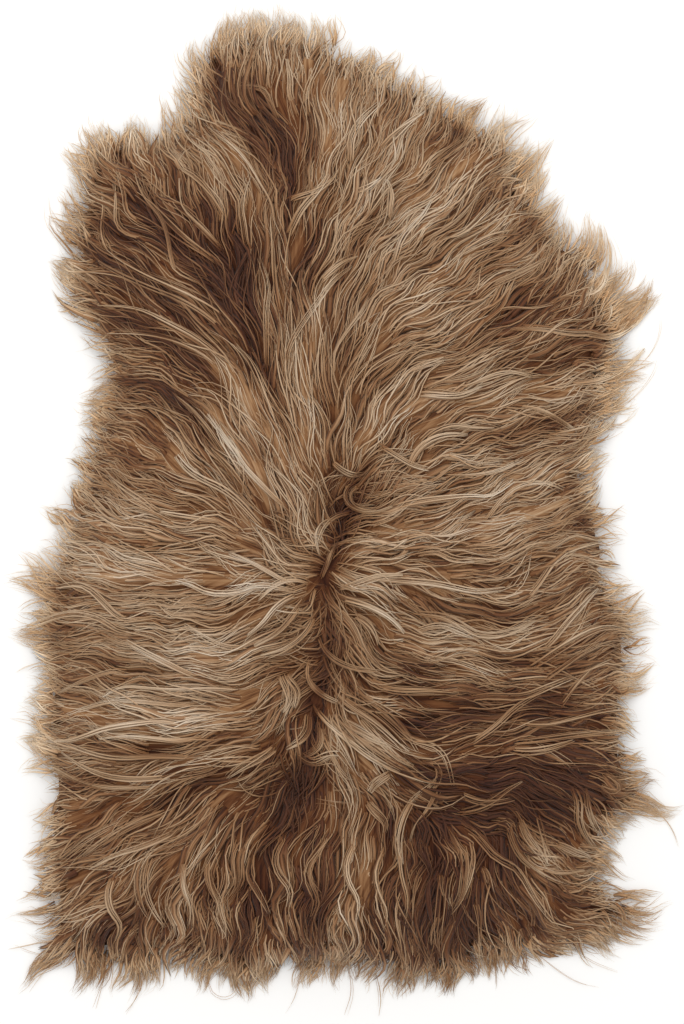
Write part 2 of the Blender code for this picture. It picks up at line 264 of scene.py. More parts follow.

# how much paler the wool is over the rim, partly its thin hair's lighter colour and partly painted light
# shining through it, 0 where it keeps its colour to the tips: (from left, from neck, share)
rimLights = {
    "neck": (250, 20, 0.95), "right shoulder": (500, 120, 1.1), "right fore": (610, 270, 1.3),
    "right waist": (600, 400, 1.2), "right flank": (630, 620, 1.05), "right hind point": (650, 800, 0.75),
    "right hind corner": (620, 920, 0.6), "tail right": (500, 960, 0.5), "tail": (400, 990, 0.45),
    "tail left": (250, 975, 0.55), "left hind corner": (60, 960, 0.5), "left belly": (30, 800, 1.1),
    "left flank": (25, 640, 1.15), "left waist": (75, 450, 0.95), "left fore": (55, 250, 0.9),
    "left shoulder": (90, 130, 0.95),
}

# where the fleece is darker and thinner (below 0) or lighter and fuller (above 0): partly the wool's own
# colour, partly painted shade in its hollows, folds and breaks and painted light on its fuller places: (from
# left, from neck, reach, shade)
shades = {
    "neck left": (231, 80, 25, -0.5), "neck hollow": (281, 142, 26, -1.0),
    "neck crest": (228, 148, 20, 0.7), "neck right": (360, 120, 36, 0.8),
    "neck right edge": (430, 130, 20, -0.3), "left shoulder": (125, 235, 34, -0.8),
    "left shoulder light": (150, 170, 18, 0.3), "left shoulder hollow": (221, 281, 28, -1.2),
    "left shoulder fold": (200, 205, 20, -0.6), "front middle": (316, 230, 20, -0.7),
    "front stream": (346, 205, 18, 0.5), "front low": (350, 350, 22, -0.3),
    "right shoulder": (436, 222, 44, 1.0), "right shoulder break": (466, 262, 28, -0.7),
    "fore edge": (566, 306, 24, -0.6), "right of the middle": (436, 342, 46, 0.7),
    "right middle": (536, 356, 34, 0.3), "left waist": (156, 372, 42, -0.7),
    "left of the whorl": (246, 424, 36, 0.5), "left waist low": (130, 440, 20, -0.2),
    "whorl": (352, 466, 26, -0.8), "whorl low": (326, 552, 18, -0.5), "parting": (312, 650, 18, -0.5),
    "left flank": (106, 562, 46, 0.8), "left flank front": (146, 502, 30, 0.5),
    "left flank back": (196, 632, 38, 1.0), "right flank": (466, 532, 46, 0.9),
    "right flank front": (528, 490, 30, 0.4), "right flank edge": (566, 570, 20, -0.5),
    "right flank fold": (496, 640, 28, -0.4), "right flank low": (446, 652, 22, 0.4),
    "left belly edge": (71, 682, 22, -0.6), "left belly": (106, 722, 30, 0.7),
    "left belly inner": (186, 712, 28, 0.6), "left break": (286, 782, 26, -1.6),
    "left break edge": (116, 782, 28, -0.6), "break middle": (200, 775, 22, -0.4),
    "belly hollow": (268, 778, 12, -1.0), "belly hollow right": (342, 768, 9, -0.9),
    "belly whirl": (298, 714, 20, 0.7), "belly tuft": (356, 752, 22, 1.0), "belly": (346, 692, 18, 0.4),
    "right break inner": (426, 712, 24, -0.7), "right break": (496, 772, 36, -1.3),
    "right break edge": (586, 742, 28, -0.8), "right break low": (556, 784, 24, -1.1),
    "left hind leg": (126, 852, 30, 0.6), "left hind edge": (71, 822, 20, -0.3),
    "left hind low": (116, 950, 20, -0.7), "tail left": (266, 902, 26, -1.0),
    "tail gap": (306, 880, 14, -0.7), "tail middle": (361, 852, 26, 0.8),
    "tail hollow": (421, 842, 26, -1.5), "tail low": (426, 922, 28, -1.2),
    "tail right lock": (466, 862, 12, 0.5), "tail right gap": (506, 842, 20, -0.8),
    "right hind lock": (541, 846, 13, 0.6), "right hind low": (478, 912, 34, -0.9),
    "right hind leg": (578, 902, 24, -0.7), "back left": (170, 590, 85, 0.5),
    "back right": (450, 530, 75, 0.5), "back front": (245, 410, 50, 0.2),
    "front right": (400, 330, 60, 0.35), "whole left shoulder": (130, 230, 55, -0.5),
    "whole neck": (235, 115, 45, -0.4), "hind right": (490, 840, 90, -0.6),
    "hind middle": (250, 880, 70, -0.45), "hind low": (170, 945, 45, -0.3),
    "belly edge": (585, 690, 42, -0.5), "neck tip": (268, 36, 28, 0.8),
    "right of the crease": (398, 552, 38, 0.5), "right of the ridge": (390, 662, 30, 0.5),
    "shoulder band": (478, 270, 28, -0.4),
}

# the line that the wool falls away from, to the left and to the right
parting = [(363, 462), (345, 492), (333, 536), (318, 578), (326, 615), (324, 655), (312, 715), (292, 770)]

ground = {
    "step": 0.004,  # spacing of the grid that the maps are kept on
    "reach": (0.376, 0.544),
    "softEdge": 0.008,  # how far the gaps between rim locks are closed over
    "mapReach": 0.025,  # how near a row of the fleece map rules the lie
    "fringeReach": 0.020,  # a row of the fringes the wool's edge
    "rimLightReach": 0.050,  # one of the rim lights the rim's colour
    "growthReach": 0.055,  # and one of the wool places the wave and the length
    "outward": (0.6, 0.045),  # pull over the rim, and how far in it starts
    "tipHeight": 0.003,
    "rimSlope": 1.4,
    "relief": 0.004,  # how far the fuller places stand up and the thin ones sink
    "lean": 0.014,  # locks cross the parting by this much before they turn
    "crease": (0.012, 0.24),  # half its width, and how much painted shade darkens the wool in it
    "shadeTone": 0.12,  # what a place's shade adds where a strand passes over it
    "bandLength": 0.045,  # how far a light or dark band runs along the lie, either way
    "formBlur": 0.006,  # radius over which the solid's height is evened out
    "unruly": 0.024,  # how far beside the parting locks turn every way
    "sway": ((10, 0.075), (4, 0.040)),  # degrees that the lie sways, and over what distance
}

axisX = np.arange(-ground["reach"][0], ground["reach"][0] + 1e-6, ground["step"])
axisY = np.arange(-ground["reach"][1], ground["reach"][1] + 1e-6, ground["step"])
gridX, gridY = np.meshgrid(axisX, axisY)


def blurred(field, radius):
    cells = radius / ground["step"]
    reach = int(cells * 3) + 1
    kernel = np.exp(-0.5 * (np.arange(-reach, reach + 1) / cells) ** 2)
    kernel /= kernel.sum()
    for axis in (0, 1):
        field = np.apply_along_axis(lambda row: np.convolve(row, kernel, "same"), axis, field)
    return field


def sampled(field, x, y):
    u = np.clip((x - axisX[0]) / ground["step"], 0, len(axisX) - 1.001)
    v = np.clip((y - axisY[0]) / ground["step"], 0, len(axisY) - 1.001)
    i, j = u.astype(int), v.astype(int)
    a, b = u - i, v - j
    near = field[j, i] * (1 - a) + field[j, i + 1] * a
    far = field[j + 1, i] * (1 - a) + field[j + 1, i + 1] * a
    return near * (1 - b) + far * b


def castPile():
    # how high the CAD form stands over each grid point, 0 beside it
    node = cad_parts["sheepskin"]
    mesh = node.data
    points = [node.matrix_world @ v.co for v in mesh.vertices]
    tree = BVHTree.FromPolygons(points, [tuple(p.vertices) for p in mesh.polygons])
    pile = np.zeros(gridX.shape)
    down = Vector((0, 0, -1))
    for j, y in enumerate(axisY):
        for i, x in enumerate(axisX):
            hit = tree.ray_cast(Vector((x, y, 0.2)), down)[0]
            if hit:
                pile[j, i] = hit.z
    return pile


def edgeDistance(mask):
    # distance to the soft outline, positive on the skin
    level = mask - 0.5
    spots = []
    for dj, di in ((0, 1), (1, 0)):
        a = level[: level.shape[0] - dj, : level.shape[1] - di]
        b = level[dj:, di:]
        j, i = np.nonzero(a * b < 0)
        share = a[j, i] / (a[j, i] - b[j, i]) * ground["step"]
        spots.append(np.stack([axisX[i] + share * di, axisY[j] + share * dj], 1))
    spots = np.concatenate(spots)
    distance = np.empty(level.shape)
    for j in range(level.shape[0]):
        dx = gridX[j][:, None] - spots[None, :, 0]
        dy = gridY[j][:, None] - spots[None, :, 1]
        distance[j] = np.sqrt((dx * dx + dy * dy).min(1))
    return np.where(level > 0, distance, -distance)


def blendRows(rows, x, y, reach, power):
    # each column of the rows past the place, blended by nearness
    rows = list(rows)
    total = np.zeros(x.shape)
    values = [np.zeros(x.shape) for _ in rows[0][2:]]
    for row in rows:
        px, py = toPlace(row[0], row[1])
        weight = 1 / (((x - px) ** 2 + (y - py) ** 2) ** (power / 2) + reach**power)
        total += weight
        for value, column in zip(values, row[2:]):
            value += weight * column
    return [value / total for value in values]


def partingDistance(x, y):
    best = np.full(np.shape(x), 1.0)
    ends = [toPlace(*p) for p in parting]
    for (ax, ay), (bx, by) in zip(ends, ends[1:]):
        dx, dy = bx - ax, by - ay
        share = np.clip(((x - ax) * dx + (y - ay) * dy) / (dx * dx + dy * dy), 0, 1)
        best = np.minimum(best, np.hypot(x - ax - share * dx, y - ay - share * dy))
    return best


castHeights = castPile()
castMask = (castHeights > 0.0005).astype(float)
edge = edgeDistance(blurred(castMask, ground["softEdge"]))
edge += blendRows(fringes.values(), gridX, gridY, ground["fringeReach"], 4)[0] / 1000
edgeSlopeY, edgeSlopeX = np.gradient(edge, ground["step"])
spread = blurred(castMask, ground["formBlur"])
pileMap = np.where(spread > 0.02, blurred(castHeights, ground["formBlur"]) / np.maximum(spread, 0.02), 0.0)
# the wool lies down towards its own edge
pileMap = np.minimum(pileMap, ground["tipHeight"] + ground["rimSlope"] * np.maximum(edge + 0.004, 0))
pileMap = np.maximum(pileMap, ground["tipHeight"])

mapRows = [
    (left, neck, math.cos(math.radians(heading)), math.sin(math.radians(heading)))
    for rows in fleeceMap.values()
    for left, neck, heading in rows
]
flowX, flowY = blendRows(mapRows, gridX, gridY, ground["mapReach"], 3)
pull = ground["outward"][0] * smoothStep(1 - edge / ground["outward"][1])
steep = np.maximum(np.hypot(edgeSlopeX, edgeSlopeY), 1e-6)
flowX = flowX - pull * edgeSlopeX / steep
flowY = flowY - pull * edgeSlopeY / steep
growth = blendRows(woolPlaces.values(), gridX, gridY, ground["growthReach"], 3)
waveMap, periodMap, lengthMap, gatherMap = growth
rimLightMap = blendRows(rimLights.values(), gridX, gridY, ground["rimLightReach"], 3)[0]
shadeMap = np.zeros(gridX.shape)
for left, neck, reach, shade in shades.values():
    px, py = toPlace(left, neck)
    shadeMap += shade * np.exp(-((gridX - px) ** 2 + (gridY - py) ** 2) / (2 * (reach / 1000) ** 2))
shadeMap = np.clip(shadeMap, -1.9, 1.3)
# painted shade and light: the places' shades darken or lighten the wool's colour
toneMap = ground["shadeTone"] * shadeMap
# painted shade along the crease of the parting
toneMap -= ground["crease"][1] * np.exp(-((partingDistance(gridX, gridY) / ground["crease"][0]) ** 2))
relief = ground["relief"] * shadeMap * np.clip(pileMap / 0.04, 0, 1)  # none where the pile is low
pileMap = np.maximum(pileMap + relief, ground["tipHeight"])
unrulyMap = np.exp(-((partingDistance(gridX, gridY) / ground["unruly"]) ** 2))


def driftField(cell):
    # a soft random field, so that neighbouring locks wave together
    coarse = rng.normal(size=(int(1.3 / cell) + 3, int(1.0 / cell) + 3))

    def read(x, y):
        u, v = (x + 0.45) / cell, (y + 0.6) / cell
        i, j = np.clip(u.astype(int), 0, coarse.shape[1] - 2), np.clip(v.astype(int), 0, coarse.shape[0] - 2)
        a, b = smoothStep(u - i), smoothStep(v - j)
        near = coarse[j, i] * (1 - a) + coarse[j, i + 1] * a
        far = coarse[j + 1, i] * (1 - a) + coarse[j + 1, i + 1] * a
        return near * (1 - b) + far * b

    return read


# the lie sways from place to place, so that locks beside each other bend together
sway = np.radians(sum(turn * driftField(reach)(gridX, gridY) for turn, reach in ground["sway"]))
flowX, flowY = flowX * np.cos(sway) - flowY * np.sin(sway), flowX * np.sin(sway) + flowY * np.cos(sway)


def climbAlong(slopeX, slopeY):
    # the height whose slopes come nearest to these, over the whole grid
    wide = np.concatenate([slopeX, -slopeX[:, ::-1]], 1)
    wide = np.fft.fft2(np.concatenate([wide, wide[::-1]], 0))
    tall = np.concatenate([slopeY, slopeY[:, ::-1]], 1)
    tall = np.fft.fft2(np.concatenate([tall, -tall[::-1]], 0))
    kx = 2j * np.pi * np.fft.fftfreq(wide.shape[1], ground["step"])[None, :]
    ky = 2j * np.pi * np.fft.fftfreq(wide.shape[0], ground["step"])[:, None]
    square = -(kx * kx + ky * ky).real
    square[0, 0] = 1
    height = np.fft.ifft2(-(kx * wide + ky * tall) / square).real
    return height[: slopeX.shape[0], : slopeX.shape[1]]


# the wave's phase goes by place, so that all the locks of a place bend together
strength = 2 * np.pi * 1000 / periodMap / np.maximum(np.hypot(flowX, flowY), 1e-6)
phaseMap = climbAlong(flowX * strength, flowY * strength) + 1.3 * driftField(0.080)(gridX, gridY)


def smearedAlong(field, reach):
    # the field drawn out along the lie of the wool
    total, count = field.copy(), 1
    for way in (1, -1):
        x, y = gridX.copy(), gridY.copy()
        for _ in range(int(reach / ground["step"])):
            fx, fy = sampled(flowX, x, y), sampled(flowY, x, y)
            size = np.maximum(np.hypot(fx, fy), 1e-6)
            x, y = x + way * ground["step"] * fx / size, y + way * ground["step"] * fy / size
            total, count = total + sampled(field, x, y), count + 1
    return total / count


# light and dark bands that run along the lie, as wide as a lock
bandMap = smearedAlong(blurred(rng.normal(size=gridX.shape), ground["step"]), ground["bandLength"])
bandMap = np.clip(bandMap / bandMap[edge > 0].std(), -2, 2)
print("fleece map ready")


def rootsOn(pitch, leastEdge, mostEdge=1.0):
    # a loose hexagonal spacing, as follicle groups have
    rowGap = pitch * 0.866
    spots = []
    for row in range(int(1.1 / rowGap)):
        y = -0.53 + row * rowGap
        for x in np.arange(-0.36 + (row % 2) * pitch / 2, 0.36, pitch):
            spots.append((x, y))
    spots = np.array(spots) + rng.uniform(-0.42, 0.42, (len(spots), 2)) * pitch
    depth = sampled(edge, spots[:, 0], spots[:, 1])
    return spots[(depth > leastEdge) & (depth < mostEdge)]


def grownPaths(spots, turn, curl, length, overshoot, steps=32):
    # each lock's line over the ground: it follows the lie of the wool from its root
    n = len(spots)
    x, y = spots[:, 0].copy(), spots[:, 1].copy()
    start = np.arctan2(sampled(flowY, x, y), sampled(flowX, x, y)) + turn
    near = np.clip(sampled(unrulyMap, x, y) * 2.5, 0, 1)  # only beside the parting
    lean = np.minimum(ground["lean"], length * 0.25) * near
    x, y = x - np.cos(start) * lean, y - np.sin(start) * lean
    px, py = np.empty((n, steps + 1)), np.empty((n, steps + 1))
    heading = np.empty((n, steps + 1))
    stride = length / steps
    for k in range(steps + 1):
        px[:, k], py[:, k] = x, y
        angle = np.arctan2(sampled(flowY, x, y), sampled(flowX, x, y)) + turn
        angle = np.where(stride * k < lean, start, angle)  # straight over its root
        heading[:, k] = angle + curl * stride * k
        x = x + np.cos(heading[:, k]) * stride
        y = y + np.sin(heading[:, k]) * stride
    gone = sampled(edge, px, py) < -overshoot[:, None]
    first = np.where(gone.any(1), gone.argmax(1), steps)
    return {
        "x": px,
        "y": py,
        "heading": np.unwrap(heading, axis=1),
        "phase": sampled(phaseMap, px, py),
        "stride": stride,
        "length": stride * first,
        "cut": gone.any(1),
    }


def readPath(paths, name, lock, s):
    # a path's value at the distance s from the root, for many strands at once
    values = paths[name]
    k = np.clip(s / paths["stride"][lock][:, None], 0, values.shape[1] - 1.001)
    i = k.astype(int)
    share = k - i
    row = lock[:, None]
    return values[row, i] * (1 - share) + values[row, i + 1] * share


# what all strands share
strandForm = {
    "waveStart": 0.045,  # the wave comes in over this length from the root
    "fullPile": 0.03,  # where the pile is lower than this, locks lie flatter
    "lowest": 0.0022,
    "overTop": 0.004,  # how far past the solid's top a strand may stand
    "tone": 0.306,  # of a plain strand, on the wool's colours
    "shortest": 0.022,
    "astray": 0.03,  # share of strands that leave their lock
    "strayBy": (0.0012, 0.008),  # how far the others and those leave it
    "plainLength": (0.6, 0.9),  # a plain strand's length, to its lock's
    "lightLength": (0.82, 1.0),  # and a light one's
    "segmentsPerWave": 3.0,
    "segmentLength": 0.030,  # at most
}


def stations(segments, rootShare=0.26):
    # one long step where the root is hidden, even ones from there to the tip
    shown = segments - 1
    return np.concatenate([[0], rootShare + (1 - rootShare) * np.arange(shown + 1) / shown])


def strandCore(paths, strands, segments, kit):
    # the middle line of every strand, root to tip
    lock = strands["lock"]
    t = stations(segments)[None, :]
    s = strands["length"][:, None] * t
    x, y = readPath(paths, "x", lock, s), readPath(paths, "y", lock, s)
    ahead = readPath(paths, "heading", lock, s)
    grown = np.minimum(s / strandForm["waveStart"], 1)
    phase = readPath(paths, "phase", lock, s) + strands["phase"][:, None]
    wave = strands["wave"][:, None] * grown * np.sin(phase)
    crest = strands["wave"][:, None] * grown * np.cos(phase)
    twist = strands["angle"][:, None] + strands["twist"][:, None] * t
    narrow = kit["bodySpread"] * np.sin(np.pi * np.clip(t, 0, 1)) ** 0.8 + kit["tipSpread"] * t
    narrow = kit["rootSpread"] * (1 - t) ** 0.8 + narrow * strands["gather"][:, None]
    aside = strands["radius"][:, None] * narrow * np.cos(twist)
    aside = aside + wave + strands["stray"][:, None] * t**2.2
    x = x - np.sin(ahead) * aside
    y = y + np.cos(ahead) * aside
    rise = (1 - np.exp(-strands["rise"][:, None] * t)) / (1 - np.exp(-strands["rise"][:, None]))
    pile = np.maximum(sampled(pileMap, x, y) * strands["lift"][:, None], ground["tipHeight"])
    z = kit["rootHeight"] + (pile - kit["rootHeight"]) * rise
    depth = sampled(edge, x, y)
    room = np.clip(pile / strandForm["fullPile"], 0.15, 1)
    z = z + strands["radius"][:, None] * narrow * kit["flat"] * np.sin(twist) * room * np.minimum(t * 4, 1)
    z = z + strands["stray"][:, None] ** 2 * 4 * t * room + crest * kit["crestHeight"] * room
    z = np.clip(z, strandForm["lowest"], cadHigh.z + strandForm["overTop"])
    # painted light: a lock's crown is painted lighter than its sides and its sides darker, as if lit from
    # above, most where locks keep together
    apart = np.maximum(1 - strands["gather"][:, None], 0)
    crown = strands["radius"][:, None] * np.sin(twist) * (1 + 2 * apart)
    # the tone of painted light: a painted highlight on the wave's crests and a lock's crown, painted shade in
    # its troughs and on its lower side
    return np.stack([x, y, z], 2), depth, t, crest / 0.004 * kit["crestHighlight"] + crown * kit["crownHighlight"]


def strandGrain(strands, half, share, size):
    # place on the strand, in metres across and along, and a layer of the streaks of
    # its own, so that no two strands look the same
    n, rings = half.shape
    grain = np.zeros((n, size, 3))
    for k, across in enumerate((0.0, -1.4, 1.4)):
        grain[:, k : rings * 3 : 3, 0] = half * across
        grain[:, k : rings * 3 : 3, 1] = strands["length"][:, None] * share[None, :]
    grain[:, -1, 1] = strands["length"]
    grain[:, :, 2] = np.arange(n)[:, None] * 3.7
    return grain


def strandTube(core, depth, t, paintedLight, strands, kit):
    # a closed three-sided strand round each middle line, with its point at the tip
    n, rings = core.shape[0], core.shape[1] - 1
    tangent = np.gradient(core, axis=1)
    tangent /= np.maximum(np.linalg.norm(tangent, axis=2, keepdims=True), 1e-9)
    side = np.stack([-tangent[..., 1], tangent[..., 0], np.zeros_like(tangent[..., 0])], 2)
    side /= np.maximum(np.linalg.norm(side, axis=2, keepdims=True), 1e-9)
    up = np.cross(tangent, side)
    share = t[0, :-1]
    girth = np.interp(share, *zip(*kit["profile"]))
    half = strands["width"][:, None] * girth[None, :] / 2
    tall = half * kit["thick"]
    points = np.empty((n, rings * 3 + 1, 3))
    # each ring has a crest on top and an edge on each side
    for k, (across, high) in enumerate(((0.0, 1.2), (-1.0, -0.7), (1.0, -0.7))):
        points[:, k : rings * 3 : 3] = (
            core[:, :-1] + side[:, :-1] * (half * across)[..., None] + up[:, :-1] * (tall * high)[..., None]
        )
    points[:, -1] = core[:, -1]
    along = np.concatenate([np.repeat(share, 3), [1.0]])
    faces, rounded = [[0, 2, 1]], [False]
    cell = [[(0.1, 0.01), (0.5, 0.045), (0.9, 0.01)]]
    level = 0.06 + 0.92 * share  # of each ring in the strand's cell of the UV map
    for r in range(rings - 1):
        for k in range(3):
            q = (k + 1) % 3
            faces.append([r * 3 + k, r * 3 + q, r * 3 + 3 + q, r * 3 + 3 + k])
            rounded.append(k != 1)  # the flat underside keeps the crest's shading soft
            left, right = (k + 0.08) / 3, (k + 0.92) / 3
            cell.append([(left, level[r]), (right, level[r]), (right, level[r + 1]), (left, level[r + 1])])
    last = rings * 3
    for k in range(3):
        q = (k + 1) % 3
        faces.append([last - 3 + k, last - 3 + q, last])
        rounded.append(k != 1)
        cell.append([((k + 0.08) / 3, level[-1]), ((k + 0.92) / 3, level[-1]), ((k + 0.5) / 3, 0.98)])
    x, y = core[..., 0], core[..., 1]
    rimShare = np.clip(smoothStep(1 - depth / kit["rimBand"]) * sampled(rimLightMap, x, y), 0, 1)
    # the light bands, and the painted shade and light of the places and the crease, that a strand passes
    # through
    band = sampled(bandMap, x, y) * kit["bandTone"] + sampled(toneMap, x, y)
    # the strand's painted highlights and painted shade go into its tone too
    tone = np.clip(strands["tone"][:, None] + paintedLight + band, 0, 1)
    return {
        "points": points,
        "faces": faces,
        "rounded": np.array(rounded),
        "cell": np.array([c for face in cell for c in face]),
        "along": np.repeat(along[None, :], n, 0),
        "tone": np.concatenate([np.repeat(tone[:, :-1], 3, 1), tone[:, -1:]], 1),
        "rim": np.concatenate([np.repeat(rimShare[:, :-1], 3, 1), rimShare[:, -1:]], 1),
        "grain": strandGrain(strands, half, share, points.shape[1]),
        "across": np.repeat(np.append(np.tile([0.0, -1.0, 1.0], rings), 0.0)[None, :], n, 0),
    }


def toObject(name, mesh, material):
    mesh.materials.append(material)
    obj = bpy.data.objects.new(name, mesh)
    bpy.context.scene.collection.objects.link(obj)
    return obj


def triangleCount(obj):
    return len(obj.data.loops) - 2 * len(obj.data.polygons)


def woolPiece(name, bundles, material):
    # many strands as one mesh, each with its own cell of the UV map
    bundles = [b for b in bundles if len(b["points"])]
    total = sum(len(b["points"]) for b in bundles)
    columns = max(1, int(math.ceil(math.sqrt(total * 1.25))))
    rows = int(math.ceil(total / columns))
    loops, starts, uvs = [], [], []
    pointBase, loopBase, done = 0, 0, 0
    for b in bundles:
        n, size = b["points"].shape[:2]
        flat = np.array([v for face in b["faces"] for v in face])
        begin = np.cumsum([0] + [len(face) for face in b["faces"]])[:-1]
        strand = np.arange(n)[:, None]
        loops.append((flat + pointBase + strand * size).ravel())
        starts.append((begin + loopBase + strand * len(flat)).ravel())
        corner = np.stack([(done + strand) % columns, (done + strand) // columns], 2)
        uvs.append(((corner + b["cell"]) / np.array([columns, rows])).reshape(-1, 2))
        pointBase, loopBase, done = pointBase + n * size, loopBase + n * len(flat), done + n
    loops, starts = np.concatenate(loops), np.concatenate(starts)
    mesh = bpy.data.meshes.new(name)
    mesh.vertices.add(pointBase)
    mesh.vertices.foreach_set("co", np.concatenate([b["points"].ravel() for b in bundles]))
    mesh.loops.add(len(loops))
    mesh.loops.foreach_set("vertex_index", loops)
    mesh.polygons.add(len(starts))
    mesh.polygons.foreach_set("loop_start", starts)
    mesh.uv_layers.new(name="OFBake").uv.foreach_set("vector", np.concatenate(uvs).ravel())
    for key in ("along", "tone", "rim", "across"):
        values = np.concatenate([b[key].ravel() for b in bundles])
        mesh.attributes.new(key, "FLOAT", "POINT").data.foreach_set("value", values)
    grain = np.concatenate([b["grain"].ravel() for b in bundles])
    mesh.attributes.new("grain", "FLOAT_VECTOR", "POINT").data.foreach_set("vector", grain)
    mesh.update(calc_edges=True)
    rounded = np.concatenate([np.tile(b["rounded"], len(b["points"])) for b in bundles])
    mesh.polygons.foreach_set("use_smooth", rounded)
    obj = toObject(name, mesh, material)
    print(f"{name}: {done} strands, {triangleCount(obj)} triangles")
    return obj


# a lock is a soft body of broad ribbons with finer strands lying on it
locks = {
    "pitch": 0.0195,
    "leastEdge": 0.026,  # no lock grows nearer the wool's edge than this
    "ribbons": 4,
    "strands": 7,
    "turn": 3.5,  # how far a lock turns from the lie, in degrees
    "curl": 110.0,  # and how it curls on from there, in degrees a metre
    "pastEdge": (-0.006, 0.009, -0.030, 0.012),  # middle, spread, least and most
    "shade": 0.13,  # what the shade of its place adds to a lock's tone
    "lockTone": 0.04,  # how far locks beside each other differ in tone
}
lockBody = {
    "width": (0.0032, 0.0072),
    "profile": [(0, 0.7), (0.3, 1.0), (0.6, 0.9), (0.85, 0.5), (1, 0.1)],  # width from root to tip
    "shortBy": 0.004,  # how far it ends before its lock does, where the rim cuts it
    "lightShare": 0.4,  # share of the strands that are light
    "lightStep": 0.03,  # how much lighter those are
    "lightKeeps": 1.0,  # share of the place's shade that a light strand takes on
    "lightWidth": 1.0,
    "unlike": 0.018,  # how far strands beside each other differ in tone
    "rootSpread": 0.0110,  # how far from its lock's middle a strand lies
    "bodySpread": 0.0070,
    "tipSpread": 0.0022,
    "flat": 0.08,  # a lock's height, to its breadth
    "rise": (14.0, 15.0),  # how steeply plain and light strands leave the root
    "height": (0.945, 0.96),  # and how high they lie, to the pile
    "crestHeight": 0.35,  # rise of the wave's crests, to its breadth
    "crestHighlight": 0.05,  # painted highlight: how much lighter the wave's crests are painted, as they turn to the light
    "bandTone": 0.08,  # and the light bands that run along the lie
    "crownHighlight": 0.05,  # and the painted highlight on the top of a lock
    "rootHeight": 0.004,
    "thick": 0.08,  # a strand's thickness, to its breadth
    "rimBand": 0.025,  # how far in the paler colour of the rim reaches
}
# fibres are far too fine to show, so each strand stands for a few dozen of them
fleece = dict(
    lockBody,
    width=(0.0006, 0.0018),
    profile=[(0, 0.7), (0.4, 1.0), (0.75, 0.8), (1, 0.2)],
    shortBy=0.0,
    lightShare=0.50,
    lightStep=0.16,
    lightKeeps=0.6,
    unlike=0.035,
    lightWidth=1.15,
    bodySpread=0.0080,
    flat=0.11,
    rise=(14.0, 16.0),
    height=(0.962, 0.992),
    bandTone=0.11,
    crownHighlight=0.06,
    thick=0.2,
)


def plannedLocks(spots, kit, lengthScale=1.0, given=None):
    n = len(spots)
    x, y = spots[:, 0], spots[:, 1]
    unruly = sampled(unrulyMap, x, y)
    loose = np.clip(1 - sampled(gatherMap, x, y), 0, 1)  # locks apart hang on past the rim
    middle, spread, least, most = kit["pastEdge"]
    plan = {
        "length": sampled(lengthMap, x, y) / 1000 * lengthScale * rng.uniform(0.82, 1.15, n),
        "turn": np.radians(rng.normal(0, 1, n) * (kit["turn"] + 7 * unruly)),
        "curl": np.radians(rng.normal(0, 1, n) * (kit["curl"] + 120 * unruly)),
        "past": np.clip(rng.normal(middle, spread, n), least, most) + 0.016 * loose,
    }
    plan.update(given or {})
    return lockTraits(grownPaths(spots, plan["turn"], plan["curl"], plan["length"], plan["past"]), kit)


def lockTraits(paths, kit):
    # what the strands of each lock have in common
    x, y = paths["x"][:, 0], paths["y"][:, 0]
    n = len(x)
    paths["gather"] = sampled(gatherMap, x, y) * rng.uniform(0.85, 1.15, n)
    paths["shift"] = rng.normal(0, 0.4, n) * (1 + 2.5 * np.maximum(1 - paths["gather"], 0))
    paths["wave"] = sampled(waveMap, x, y) / 1000 * rng.uniform(0.6, 1.25, n)
    paths["period"] = sampled(periodMap, x, y) / 1000
    # a lock shows most near its tip, so its shade is that of where it ends
    k = (paths["x"].shape[1] * 2) // 3
    shade = sampled(shadeMap, paths["x"][:, k], paths["y"][:, k])
    paths["shade"] = shade
    paths["band"] = sampled(bandMap, paths["x"][:, k], paths["y"][:, k])
    # locks that keep together stand apart from each other in tone and height too, and a lock that stands
    # higher is painted lighter and a sunk one darker, as painted shade
    apart = 1 + 2.5 * np.maximum(1 - paths["gather"], 0)
    high = np.clip(rng.normal(0, 0.018, n) * apart, -0.09, 0.06)
    paths["lift"] = 1 + high
    paths["light"] = kit["shade"] * shade + lightField(x, y) * 0.03
    paths["light"] = paths["light"] + rng.normal(0, kit["lockTone"], n) * apart + high
    return paths


